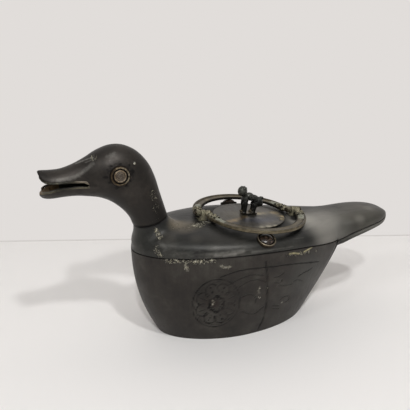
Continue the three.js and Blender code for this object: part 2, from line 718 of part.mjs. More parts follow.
function rivetGeometry() {
  const [headRadius, head] = RIVET_HEAD;
  const under = lidUnder - GAP;
  const top = plinthBottom + RIVET_GRIP - GAP;
  return turned([[0, under - head], [headRadius, under - head], [headRadius, under], [RIVET_RADIUS, under],
    [RIVET_RADIUS, top], [0, top]], EYE_SIDES);
}

// Handle, in the deck's frame
function lugGeometry(side) {
  const { size, centre } = lugFootBox(side, 0);
  const x = side * earX;
  const foot = boxSolid(size, centre);
  const postHeight = PIVOT_HEIGHT - centre[2];
  const post = boxSolid([EAR_THICKNESS, 2 * EAR_RADIUS, postHeight], [x, 0, centre[2] + postHeight / 2]);
  const top = barSolid(EAR_RADIUS, x - EAR_THICKNESS / 2, x + EAR_THICKNESS / 2, PIVOT_HEIGHT);
  const bore = barSolid(PIN_RADIUS + PIN_PLAY, x - EAR_THICKNESS, x + EAR_THICKNESS, PIVOT_HEIGHT);
  return geometryOf(foot.add(post).add(top).subtract(bore));
}

function pinGeometry(side) {
  const reach = eyeOffset + EYE_LENGTH / 2 + SIDE_PLAY;
  const x = side * earX;
  const shank = barSolid(PIN_RADIUS, x - reach - PIN_HEAD / 2, x + reach + PIN_HEAD / 2, PIVOT_HEIGHT);
  const headAt = (from) => barSolid(PIN_HEAD_RADIUS, from, from + PIN_HEAD, PIVOT_HEIGHT);
  return geometryOf(shank.add(headAt(x - reach - PIN_HEAD)).add(headAt(x + reach)));
}

const bandTop = PIVOT_HEIGHT - BAND_DROP;
const bandLow = bandTop - BAND_THICKNESS;

// half of a flat ring on the near side, from the band's underside up to a height
function halfRing(width, high) {
  const shape = new THREE.Shape();
  shape.absellipse(0, 0, handleReach, handleSpan, Math.PI, 2 * Math.PI, false);
  const inner = new THREE.Path();
  inner.absellipse(0, 0, handleReach - width, handleSpan - width, 2 * Math.PI, Math.PI, true);
  for (const point of inner.getPoints(24)) shape.lineTo(point.x, point.y);
  const depth = high - bandLow;
  const ring = new THREE.ExtrudeGeometry(shape, { depth, bevelEnabled: false, curveSegments: 12 });
  return solid(ring.translate(eyeOffset, 0, bandLow));
}

// dragon's head at one end of a half ring, with its chin on the jug's back
function snoutSolid(side, turn) {
  const x = side * (handleReach - BAND_WIDTH / 2) + eyeOffset;
  const chin = backBelowDeck(turn * x, turn * SNOUT_PLACE) + GAP;
  const top = bandTop + SNOUT_RISE;
  const radii = [SNOUT_WIDTH / 2, SNOUT_LENGTH / 2, (top - chin) / 2];
  return ballSolid([x, -SNOUT_PLACE, (top + chin) / 2], radii);
}

// half ring on the near side; turn is -1 for the piece that is then turned half round to the far side
function handleGeometry(turn) {
  const room = EYE_RADIUS + PIVOT_HEIGHT;
  let half = halfRing(BAND_WIDTH, bandTop).add(halfRing(RIM_WIDTH, bandTop + RIM_RISE));
  for (const side of [-1, 1]) {
    const [low, high] = [-1, 1].map((end) => side * earX + eyeOffset + end * EYE_LENGTH / 2);
    const earWidth = EAR_THICKNESS + 2 * SIDE_PLAY;
    const notch = boxSolid([earWidth, LUG_FOOT[1], 2 * room], [side * earX, 0, PIVOT_HEIGHT]);
    const bore = barSolid(PIN_RADIUS + PIN_PLAY, low - PIN_HEAD, high + PIN_HEAD, PIVOT_HEIGHT);
    half = half.add(snoutSolid(side, turn)).subtract(notch);
    half = half.add(barSolid(EYE_RADIUS, low, high, PIVOT_HEIGHT)).subtract(bore);
  }
  const headRoom = 2 * (PIN_HEAD_RADIUS + SIDE_PLAY);
  const frontEnd = -earX + eyeOffset + EYE_LENGTH / 2;
  const rearStart = earX + eyeOffset - EYE_LENGTH / 2;
  const between = boxSolid([rearStart - frontEnd, headRoom, 2 * room],
    [(rearStart + frontEnd) / 2, 0, PIVOT_HEIGHT]);
  const behind = boxSolid([handleReach, headRoom, 2 * room],
    [rearStart + EYE_LENGTH + handleReach / 2, 0, PIVOT_HEIGHT]);
  return geometryOf(half.subtract(between).subtract(behind));
}

// Materials
function metal(colour, roughness, metalness) {
  return new THREE.MeshStandardMaterial({ color: colour, roughness, metalness });
}

const materials = {
  pewter: metal(0x3f3d38, 0.55, 0.85),
  castPewter: metal(0x45423c, 0.6, 0.85),
  handleBrass: metal(0x6e6650, 0.5, 0.9),
  brass: metal(0x8a744a, 0.5, 0.9),
  knobMetal: metal(0x2b2a27, 0.6, 0.8),
  amber: metal(0x5a3420, 0.35, 0),
  darkStone: metal(0x2a1a14, 0.3, 0),
};

// Assembly
const group = new THREE.Group();
const deck = new THREE.Group();
deck.rotation.y = deckTurn;
deck.position.set(DECK_X, 0, deckHeight);
group.add(deck);

function addPiece(parent, name, geometry, material) {
  const mesh = new THREE.Mesh(geometry, material);
  mesh.name = name;
  parent.add(mesh);
  return mesh;
}

function addSeated(name, geometry, material, seat) {
  const mesh = addPiece(group, name, geometry, material);
  mesh.applyMatrix4(seatMatrix(seat));
}

addPiece(group, 'base_plate', baseGeometry(), materials.pewter);
addPiece(group, 'hull', hullGeometry(), materials.pewter);
addPiece(group, 'back_shell', backGeometry(), materials.pewter);
addPiece(group, 'tail_underplate', underplateGeometry(), materials.pewter);
addPiece(group, 'neck_and_head', headGeometry(), materials.castPewter);
addPiece(group, 'upper_lip', lipGeometry(true), materials.brass);
addPiece(group, 'lower_lip', lipGeometry(false), materials.brass);

for (const [side, name] of [[-1, 'left'], [1, 'right']]) {
  addSeated(`eye_bezel_${name}`, eyeBezelGeometry(), materials.brass, eyeSeat(side));
  addSeated(`eye_ring_${name}`, eyeRingGeometry(), materials.brass, eyeSeat(side));
  addSeated(`eye_stone_${name}`, eyeStoneGeometry(), materials.amber, eyeSeat(side));
  addSeated(`stud_bezel_${name}`, studBezelGeometry(), materials.brass, studSeat(side));
  addSeated(`stud_stone_${name}`, studStoneGeometry(), materials.darkStone, studSeat(side));
}

addPiece(deck, 'mouth_collar', collarGeometry(), materials.pewter);
addPiece(deck, 'lid', lidGeometry(), materials.pewter);
addPiece(deck, 'lid_flange', flangeGeometry(), materials.pewter);
addPiece(deck, 'lid_knob', knobGeometry(), materials.knobMetal);
addPiece(deck, 'knob_rivet', rivetGeometry(), materials.brass);

for (const [side, name] of [[-1, 'front'], [1, 'rear']]) {
  addPiece(deck, `${name}_lug`, lugGeometry(side), materials.handleBrass);
  addPiece(deck, `${name}_pin`, pinGeometry(side), materials.brass);
}

addPiece(deck, 'handle_left', handleGeometry(1), materials.handleBrass);
addPiece(deck, 'handle_right', handleGeometry(-1), materials.handleBrass).rotation.z = Math.PI;

export default group;
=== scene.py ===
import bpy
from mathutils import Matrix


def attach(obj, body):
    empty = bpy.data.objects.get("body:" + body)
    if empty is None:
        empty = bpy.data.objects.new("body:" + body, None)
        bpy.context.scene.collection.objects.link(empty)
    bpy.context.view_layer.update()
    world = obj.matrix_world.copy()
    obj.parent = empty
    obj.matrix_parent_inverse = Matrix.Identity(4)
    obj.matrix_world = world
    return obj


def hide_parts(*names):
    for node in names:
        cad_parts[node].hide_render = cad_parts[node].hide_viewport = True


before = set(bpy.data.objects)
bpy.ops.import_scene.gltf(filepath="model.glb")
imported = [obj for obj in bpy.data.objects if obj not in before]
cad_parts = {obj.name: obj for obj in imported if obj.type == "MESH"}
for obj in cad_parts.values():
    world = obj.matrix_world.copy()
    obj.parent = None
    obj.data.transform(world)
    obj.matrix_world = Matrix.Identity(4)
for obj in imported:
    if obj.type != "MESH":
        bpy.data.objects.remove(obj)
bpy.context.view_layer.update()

import math

import bpy
import numpy as np
from mathutils import Matrix, Vector

MM = 0.001
TOUCHING = 2e-6      # points nearer than this are merged, in metres

# Sizes of the solids, in millimetres, as in the part's source
GAP = 0.3
WALL = 2.2
CAST_WALL = 3.2
HULL_HEIGHT = 88
FOOT = (-72, -3, 73)
FOOT_HALF_WIDTH = 37
FOOT_POWER = 1.9
SEAM_FRONT, SEAM_MIDDLE, SEAM_REAR = -93, 0, 112
SEAM_HALF_WIDTH = 53.5
SEAM_POWER = 1.85
BULGE = (2.25, 1.12)
STERN_CORNER = 97
STERN_DEPTH = 10
STERN_DROP = 10
STERN_POWER = 3
TAIL_TIP = 165
TAIL_HALF_WIDTH = 27
TAIL_POWER = 2.2
TAIL_BLEND = 6
TIP_WALL = 8
PLATE_CORNER = 5
PLATE_TIP = 0.8
SEAM = [(-93, -3.5), (-50, -1), (0, 0), (50, -3.5), (97, -9.7), (118, -5), (137, -1.8), (155, -0.2), (165, 2)]
CROWN = [(-93, -3.5), (-90, 4), (-84, 10.5), (-70, 15), (-50, 16.6), (-20, 15.9), (15, 13.3), (50, 10.6),
         (80, 9.4), (110, 9.2), (130, 9.8), (145, 9.2), (155, 7.4), (161, 5), (165, 2)]
BACK_POWER = 3.2
DECK_X = 17.5
DECK_SLOPE = 0.08
COLLAR_RISE = 0.5
MOUTH_RADIUS = 28.5
COLLAR_WALL = 1.8
LID_RADIUS = 33
EYE_OFFSET = 4.4
HANDLE_REACH = 47.7
HANDLE_SPAN = 51.3
BAND_WIDTH = 8.5
PIVOT = 4.9
EAR_X = 44.7
STUD_X = 15
STUD_SHARE = 0.89
STUD_RADIUS = 8.2
STUD_SINK = 1
HEAD_EYE = (-101.5, 69.5)
BEZEL_RADIUS = 8.4
BEZEL_SINK = 1.4
EYE_TILT = 0.12
NECK_SEAM = (-90.4, 19.5, -60, 26, 16)
NECK_STUB = [(-91.5, -2.8, -42, 9, 27), (-92.4, 5, -53, 18, 21.5), (-90, 13, -58, 23, 17.4), NECK_SEAM]
NECK_AND_HEAD = [NECK_SEAM, (-93.2, 27, -63, 37, 15.3), (-98, 34, -66.3, 49, 15), (-104, 40, -69.6, 61.5, 15.9),
                 (-110, 44.5, -75, 74, 17.4), (-115, 47, -84, 84.6, 18.6), (-119, 48.5, -95, 90.6, 18.9),
                 (-123.5, 49.5, -106, 91.4, 18.2), (-128.5, 50.3, -117, 88, 16), (-133.5, 51, -127, 82.6, 13.2),
                 (-139, 51.4, -137, 78, 12), (-147.5, 51.4, -147, 75, 12), (-156.5, 51, -156, 74.6, 12.2),
                 (-162.3, 51.8, -162.6, 75.2, 9), (-165, 54, -165, 75, 4)]
HOLLOW_SECTIONS = 13
GAPE_UPPER = [(-168, 79), (-165.2, 74.2), (-164, 71.6), (-162.4, 69.6), (-160, 68.2), (-156, 67.5), (-150, 66.9),
              (-140, 66.8), (-130, 66.6), (-127.6, 65.9), (-126.2, 64.2)]
GAPE_LOWER = [(-168, 56.4), (-165, 56.4), (-163.2, 57), (-160.5, 57.9), (-157, 58.5), (-151, 59.9), (-140, 60.2),
              (-130, 60.2), (-127.6, 60.6), (-126.2, 62)]


def clamp(value, low, high):
    return min(max(value, low), high)


def through(points):
    """Smooth value along x through points, as the solids use it."""
    end = len(points) - 1

    def slope(i):
        before, after = points[max(i - 1, 0)], points[min(i + 1, end)]
        return (after[1] - before[1]) / (after[0] - before[0])

    slopes = [slope(i) for i in range(end + 1)]

    def at(x):
        i = 0
        while i < end - 1 and x > points[i + 1][0]:
            i += 1
        step = points[i + 1][0] - points[i][0]
        t = clamp((x - points[i][0]) / step, 0, 1)
        rise = points[i + 1][1] - points[i][1]
        a, b = slopes[i] * step - rise, rise - slopes[i + 1] * step
        return points[i][1] + t * rise + t * (1 - t) * (a * (1 - t) + b * t)

    return at


def half_width(x, front, middle, rear, width, power):
    """Half width at x of a rounded outline that is widest at its middle."""
    along = (x - middle) / (rear - middle) if x > middle else (middle - x) / (middle - front)
    return width * max(1 - clamp(along, 0, 1) ** power, 0) ** (1 / power)


def inset(size, wall):
    """A half size less the wall, easing to nothing where the form closes."""
    return size * size / (size + wall) if size > 0 else 0


def stations(front, rear, count):
    """Places from front to rear, set closer together towards both ends."""
    middle, reach = (front + rear) / 2, (rear - front) / 2
    return [middle - reach * math.cos(math.pi * i / count) for i in range(count + 1)]


seam_height = through([(x, HULL_HEIGHT + rise) for x, rise in SEAM])
crown_height = through([(x, HULL_HEIGHT + rise) for x, rise in CROWN])


def back_half_width(x):
    body = half_width(x, SEAM_FRONT, SEAM_MIDDLE, SEAM_REAR, SEAM_HALF_WIDTH, SEAM_POWER)
    if x <= SEAM_MIDDLE:
        return body
    tail = half_width(x, SEAM_FRONT, STERN_CORNER, TAIL_TIP, TAIL_HALF_WIDTH, TAIL_POWER)
    share = tail if x > STERN_CORNER else TAIL_HALF_WIDTH * clamp(body / TAIL_HALF_WIDTH, 0, 1)
    return (body ** TAIL_BLEND + share ** TAIL_BLEND) ** (1 / TAIL_BLEND)


def back_height(x, y):
    rim = seam_height(x)
    across = clamp(abs(y) / back_half_width(x), 0, 1)
    return rim + (crown_height(x) - rim) * (1 - across ** BACK_POWER) ** (1 / BACK_POWER)


STERN_HALF = back_half_width(STERN_CORNER)
STERN_END = STERN_CORNER + STERN_DEPTH
STERN_TOP = seam_height(STERN_CORNER)


def hull_half_width(x):
    if x < STERN_CORNER:
        return back_half_width(x)
    return STERN_HALF * math.sqrt(max(1 - ((x - STERN_CORNER) / STERN_DEPTH) ** 2, 0))


def stern_rim(y):
    """Height of the hull's rim below the tail."""
    share = clamp(abs(y) / STERN_HALF, 0, 1)
    return STERN_TOP - PLATE_CORNER - STERN_DROP * (1 - share ** STERN_POWER)


def hull_point(x, y, share, wall):
    """Point of the hull above a place on its rim: share 0 is the foot and 1 the seam."""
    reach = STERN_END - SEAM_MIDDLE if x > SEAM_MIDDLE else SEAM_MIDDLE - SEAM_FRONT
    along = (x - SEAM_MIDDLE) / reach
    foot_reach = FOOT[2] - FOOT[1] if along > 0 else FOOT[1] - FOOT[0]
    foot_y = FOOT_HALF_WIDTH * max(1 - abs(along) ** FOOT_POWER, 0) ** (1 / FOOT_POWER)
    bulge = BULGE[0] + (BULGE[1] - BULGE[0]) * (along + 1) / 2
    out = 1 - (1 - share) ** bulge
    rim_x = SEAM_MIDDLE + along * (reach - wall)
    foot_x = FOOT[1] + along * (foot_reach - wall)
    side = math.copysign(1, y)
    return (foot_x + (rim_x - foot_x) * out,
            side * (inset(foot_y, wall) * (1 - out) + inset(abs(y), wall) * out),
            share * (seam_height(min(x, STERN_CORNER)) - GAP / 2))


# The deck is the sloping plane through the mouth's rim, which carries lid and handle
DECK_TURN = math.atan(DECK_SLOPE)
DECK_HEIGHT = crown_height(DECK_X) + COLLAR_RISE
DECK = Matrix.Translation((DECK_X * MM, 0, DECK_HEIGHT * MM)) @ Matrix.Rotation(DECK_TURN, 4, "Y")


def back_below_deck(deck_x, deck_y=0):
    """Height of the back under the lid and handle, measured from the deck."""
    x = DECK_X + deck_x * math.cos(DECK_TURN)
    z = DECK_HEIGHT - deck_x * math.sin(DECK_TURN)
    return (back_height(x, deck_y) - z) / math.cos(DECK_TURN)


# Making and finishing meshes

def deselect():
    if bpy.context.object and bpy.context.object.mode != "OBJECT":
        bpy.ops.object.mode_set(mode="OBJECT")
    bpy.ops.object.select_all(action="DESELECT")


def alone(piece):
    deselect()
    piece.select_set(True)
    bpy.context.view_layer.objects.active = piece


def vectors(piece, key):
    """The place (co) or direction (normal) of every point, one to a row."""
    flat = np.empty(len(piece.data.vertices) * 3, np.float32)
    piece.data.vertices.foreach_get(key, flat)
    return flat.reshape(-1, 3)


def coordinates(piece):
    return vectors(piece, "co").astype(float)


def points_of(piece):
    """Coordinates in millimetres."""
    return coordinates(piece) / MM


def from_axis(points):
    return np.hypot(points[:, 0], points[:, 1])


def modified(piece, kind, **settings):
    """Adds a modifier, sets it and applies it."""
    alone(piece)
    made = piece.modifiers.new("step", kind)
    for key, value in settings.items():
        setattr(made, key, value)
    bpy.ops.object.modifier_apply(modifier=made.name)
    return piece


def tidied(piece):
    """Merges doubles and turns all faces outwards."""
    alone(piece)
    bpy.ops.object.mode_set(mode="EDIT")
    bpy.ops.mesh.select_all(action="SELECT")
    bpy.ops.mesh.remove_doubles(threshold=TOUCHING)
    bpy.ops.mesh.normals_make_consistent(inside=False)
    bpy.ops.object.mode_set(mode="OBJECT")
    return piece


def bevelled(piece, width, segments, degrees):
    """Wears round, to that many millimetres, the edges that are sharper than that angle."""
    return modified(piece, "BEVEL", width=width * MM, segments=segments, limit_method="ANGLE",
                    angle_limit=math.radians(degrees))


def smooth(piece, degrees=40):
    """Shades the skin smooth and keeps the edges that are sharper than that angle."""
    alone(piece)
    bpy.ops.object.shade_smooth_by_angle(angle=math.radians(degrees))
    return piece


def wrapped(name, columns, rows, place, capped=False):
    """A grid wrapped round a form: place(column, row) gives the point in millimetres."""
    deselect()
    bpy.ops.mesh.primitive_grid_add(x_subdivisions=columns, y_subdivisions=rows, size=1)
    piece = bpy.context.object
    piece.name = name
    points = []
    for vertex in piece.data.vertices:
        column = round((vertex.co.x + 0.5) * columns)
        row = round((vertex.co.y + 0.5) * rows)
        points.append(place(column, row))
    piece.data.vertices.foreach_set("co", (np.array(points, np.float32) * MM).ravel())
    piece.data.update()
    if capped:
        alone(piece)
        bpy.ops.object.mode_set(mode="EDIT")
        bpy.ops.mesh.select_all(action="SELECT")
        bpy.ops.mesh.remove_doubles(threshold=TOUCHING)
        bpy.ops.mesh.select_all(action="DESELECT")
        bpy.ops.mesh.select_non_manifold(extend=False)
        bpy.ops.mesh.fill_holes(sides=0)
        bpy.ops.object.mode_set(mode="OBJECT")
    return tidied(piece)


def turned(name, outline, sides, closed=False, bevel=0.25):
    """A round body drawn up ring by ring from [radius, height] points, in millimetres."""
    deselect()
    radius, height = outline[0]
    bpy.ops.mesh.primitive_circle_add(vertices=sides, radius=radius * MM, location=(0, 0, height * MM),
                                      fill_type="NOTHING" if closed else "NGON")
    piece = bpy.context.object
    piece.name = name
    bpy.ops.object.transform_apply(location=True, rotation=True, scale=True)
    bpy.ops.object.mode_set(mode="EDIT")
    bpy.ops.mesh.select_all(action="SELECT")
    for (r0, z0), (r1, z1) in zip(outline, outline[1:]):
        bpy.ops.mesh.extrude_region_move(TRANSFORM_OT_translate={"value": (0, 0, (z1 - z0) * MM)})
        bpy.ops.transform.resize(value=(r1 / r0, r1 / r0, 1), center_override=(0, 0, z1 * MM))
    bpy.ops.object.mode_set(mode="OBJECT")
    tidied(piece)
    if bevel:
        bevelled(piece, bevel, segments=3, degrees=50)
    return smooth(piece)


def ball(centre, radii, rings):
    deselect()
    bpy.ops.mesh.primitive_uv_sphere_add(segments=2 * rings, ring_count=rings, radius=1,
                                         location=Vector(centre) * MM, scale=Vector(radii) * MM)
    piece = bpy.context.object
    bpy.ops.object.transform_apply(location=True, rotation=True, scale=True)
    return piece


def rod(start, end, radius, tip=None):
    """Round bar between two points, in millimetres, tapering to its tip."""
    a, b = Vector(start), Vector(end)
    deselect()
    bpy.ops.mesh.primitive_cone_add(vertices=24, radius1=radius * MM, radius2=(radius if tip is None else tip) * MM,
                                    depth=(b - a).length * MM, location=(a + b) / 2 * MM,
                                    rotation=(b - a).to_track_quat("Z", "Y").to_euler())
    piece = bpy.context.object
    bpy.ops.object.transform_apply(location=True, rotation=True, scale=True)
    return piece


def block(centre, size):
    deselect()
    bpy.ops.mesh.primitive_cube_add(size=1, location=Vector(centre) * MM, scale=Vector(size) * MM)
    piece = bpy.context.object
    bpy.ops.object.transform_apply(location=True, rotation=True, scale=True)
    return piece


def joined(name, pieces):
    alone(pieces[0])
    for piece in pieces[1:]:
        piece.select_set(True)
    bpy.ops.object.join()
    pieces[0].name = name
    return pieces[0]


def fused(name, pieces, voxel, rounds=3):
    """Pieces grown into one skin, as clay is smoothed before casting."""
    piece = joined(name, pieces)
    piece.data.remesh_voxel_size = voxel * MM
    piece.data.use_remesh_preserve_attributes = False
    bpy.ops.object.voxel_remesh()
    if rounds:
        modified(piece, "SMOOTH", factor=0.5, iterations=rounds)
    for polygon in piece.data.polygons:
        polygon.use_smooth = True
    return piece


def cut(piece, tool, matrix=None):
    """Takes the tool's shape out of the piece."""
    if matrix is not None:
        tool.data.transform(matrix)
    made = piece.modifiers.new("cut", "BOOLEAN")
    made.object, made.operation, made.solver = tool, "DIFFERENCE", "EXACT"
    alone(piece)
    bpy.ops.object.modifier_apply(modifier=made.name)
    bpy.data.objects.remove(tool)
    return piece


def smoothed_near(piece, weight, rounds):
    """Smooths only where weight(points in mm) is above 0."""
    group = piece.vertex_groups.new(name="soft")
    values = weight(points_of(piece))
    for index in np.nonzero(values > 0.01)[0]:
        group.add([int(index)], float(values[index]), "REPLACE")
    modified(piece, "SMOOTH", factor=0.5, iterations=rounds, vertex_group="soft")
    piece.vertex_groups.clear()
    return piece


def placed(piece, matrix):
    piece.data.transform(matrix)
    piece.data.update()
    return piece


def softened(name, node, width):
    """Copy of a solid with its edges worn round."""
    piece = bpy.data.objects.new(name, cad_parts[node].data.copy())
    bpy.context.scene.collection.objects.link(piece)
    alone(piece)
    bpy.ops.object.mode_set(mode="EDIT")
    bpy.ops.mesh.select_all(action="SELECT")
    bpy.ops.mesh.remove_doubles(threshold=TOUCHING)
    bpy.ops.mesh.dissolve_limited(angle_limit=math.radians(2))
    bpy.ops.object.mode_set(mode="OBJECT")
    bevelled(piece, width, segments=2, degrees=40)
    return smooth(piece)


# Wear, and painted light and shade, that follows the surface, kept on the mesh as attributes from 0 to 1

def marked(piece, name, values):
    attribute = piece.data.attributes.new(name, "FLOAT", "POINT")
    attribute.data.foreach_set("value", np.clip(values, 0, 1).astype(np.float32))


def falloff(distance, near, far):
    """1 up to near, 0 from far on, and a soft step between them."""
    t = np.clip((far - distance) / (far - near), 0, 1)
    return t * t * (3 - 2 * t)


def hollows(piece, depth, rounds=4):
    """1 where the skin lies at least that many millimetres below its surroundings, 0 where it stands proud."""
    pairs = np.empty(len(piece.data.edges) * 2, np.int64)
    piece.data.edges.foreach_get("vertices", pairs)
    one, other = pairs.reshape(-1, 2).T
    start = coordinates(piece)
    points = start.copy()
    count = np.bincount(pairs, minlength=len(points))[:, None]
    for _ in range(rounds):
        total = np.zeros_like(points)
        np.add.at(total, one, points[other])
        np.add.at(total, other, points[one])
        points = total / count
    below = np.sum((points - start) * vectors(piece, "normal"), axis=1)
    return np.clip(below / (depth * MM), 0, 1)


def spots(points, places):
    """Strongest of the soft spots [x, y, z, radius, strength] at each point."""
    value = np.zeros(len(points))
    for x, y, z, radius, strength in places:
        distance = np.linalg.norm(points - (x, y, z), axis=1)
        value = np.maximum(value, strength * falloff(distance, radius * 0.4, radius * 1.5))
    return value


def painted(piece, points, patches, linings=()):
    """Soft patches of colour [x, y, z, radius, strength, colour] laid one over another, with their strength.

    A lining [points chosen, colour] then covers all of its points evenly.
    """
    colour, strength = np.zeros((len(points), 3)), np.zeros(len(points))
    for x, y, z, radius, force, code in patches:
        share = force * falloff(np.linalg.norm(points - (x, y, z), axis=1), radius * 0.15, radius)
        total = strength + share * (1 - strength)
        weight = np.where(total > 0, share / np.maximum(total, 1e-9), 0)[:, None]
        colour = colour * (1 - weight) + np.array(linear(code)[:3]) * weight
        strength = total
    for chosen, code in linings:
        colour[chosen], strength[chosen] = linear(code)[:3], 0.85
    tint = piece.data.attributes.new("tint", "FLOAT_COLOR", "POINT")
    tint.data.foreach_set("color", np.hstack([colour, np.ones((len(points), 1))]).astype(np.float32).ravel())
    marked(piece, "tinting", strength)


def dabs(line, radius, strength, colour, spacing=0.9):
    """Patches of colour set close together along a line, for drips and thin streaks."""
    patches = []
    for a, b in zip(line[:-1], line[1:]):
        a, b = Vector(a), Vector(b)
        count = max(2, int((b - a).length / spacing))
        patches += [(*a.lerp(b, k / count), radius, strength, colour) for k in range(count + 1)]
    return patches


def stroke_distance(flat, stroke):
    """Distance from points in a plane to a line drawn through the stroke's points."""
    best = np.full(len(flat), 1e3)
    for a, b in zip(np.array(stroke[:-1], float), np.array(stroke[1:], float)):
        run = b - a
        t = np.clip(((flat - a) @ run) / max(run @ run, 1e-9), 0, 1)
        best = np.minimum(best, np.linalg.norm(flat - a - t[:, None] * run, axis=1))
    return best


def streaks(points, lines):
    """Strongest of the soft streaks [line, radius, strength] at each point."""
    value = np.zeros(len(points))
    for line, radius, strength in lines:
        distance = stroke_distance(points, curved(line, 4))
        value = np.maximum(value, strength * falloff(distance, 0, radius * 1.3))
    return value


def curved(stroke, steps=8):
    """Finer points along a smooth line through the stroke's points."""
    pts = np.array(stroke, float)
    if len(pts) < 3:
        return pts
    padded = np.vstack([2 * pts[0] - pts[1], pts, 2 * pts[-1] - pts[-2]])
    out = []
    for i in range(1, len(padded) - 2):
        p0, p1, p2, p3 = padded[i - 1:i + 3]
        for k in range(steps):
            t = k / steps
            out.append(0.5 * (2 * p1 + (p2 - p0) * t + (2 * p0 - 5 * p1 + 4 * p2 - p3) * t * t
                              + (3 * p1 - 3 * p2 + p3 - p0) * t ** 3))
    out.append(padded[-2])
    return np.array(out)


# Materials

def linear(code):
    """sRGB hex to linear, with alpha 1."""
    values = [int(code[i:i + 2], 16) / 255 for i in (1, 3, 5)]
    return tuple(v / 12.92 if v <= 0.04045 else ((v + 0.055) / 1.055) ** 2.4 for v in values) + (1,)


def add(tree, kind, inputs=None, ramp=None, **settings):
    """Adds a node with its settings, ramp stops, and its inputs' values or links."""
    made = tree.nodes.new(kind)
    for key, value in settings.items():
        setattr(made, key, value)
    for key, value in (inputs or {}).items():
        if isinstance(value, bpy.types.NodeSocket):
            tree.links.new(value, made.inputs[key])
        else:
            made.inputs[key].default_value = value
    if ramp:
        elements = made.color_ramp.elements
        while len(elements) < len(ramp):
            elements.new(0.5)
        for element, (position, colour) in zip(elements, ramp):
            element.position, element.color = position, colour
    return made


def started(name):
    material = bpy.data.materials.new(name)
    material.use_nodes = True
    tree = material.node_tree
    shader = tree.nodes["Principled BSDF"]
    where = add(tree, "ShaderNodeTexCoord").outputs["Object"]
    return material, tree, shader, where


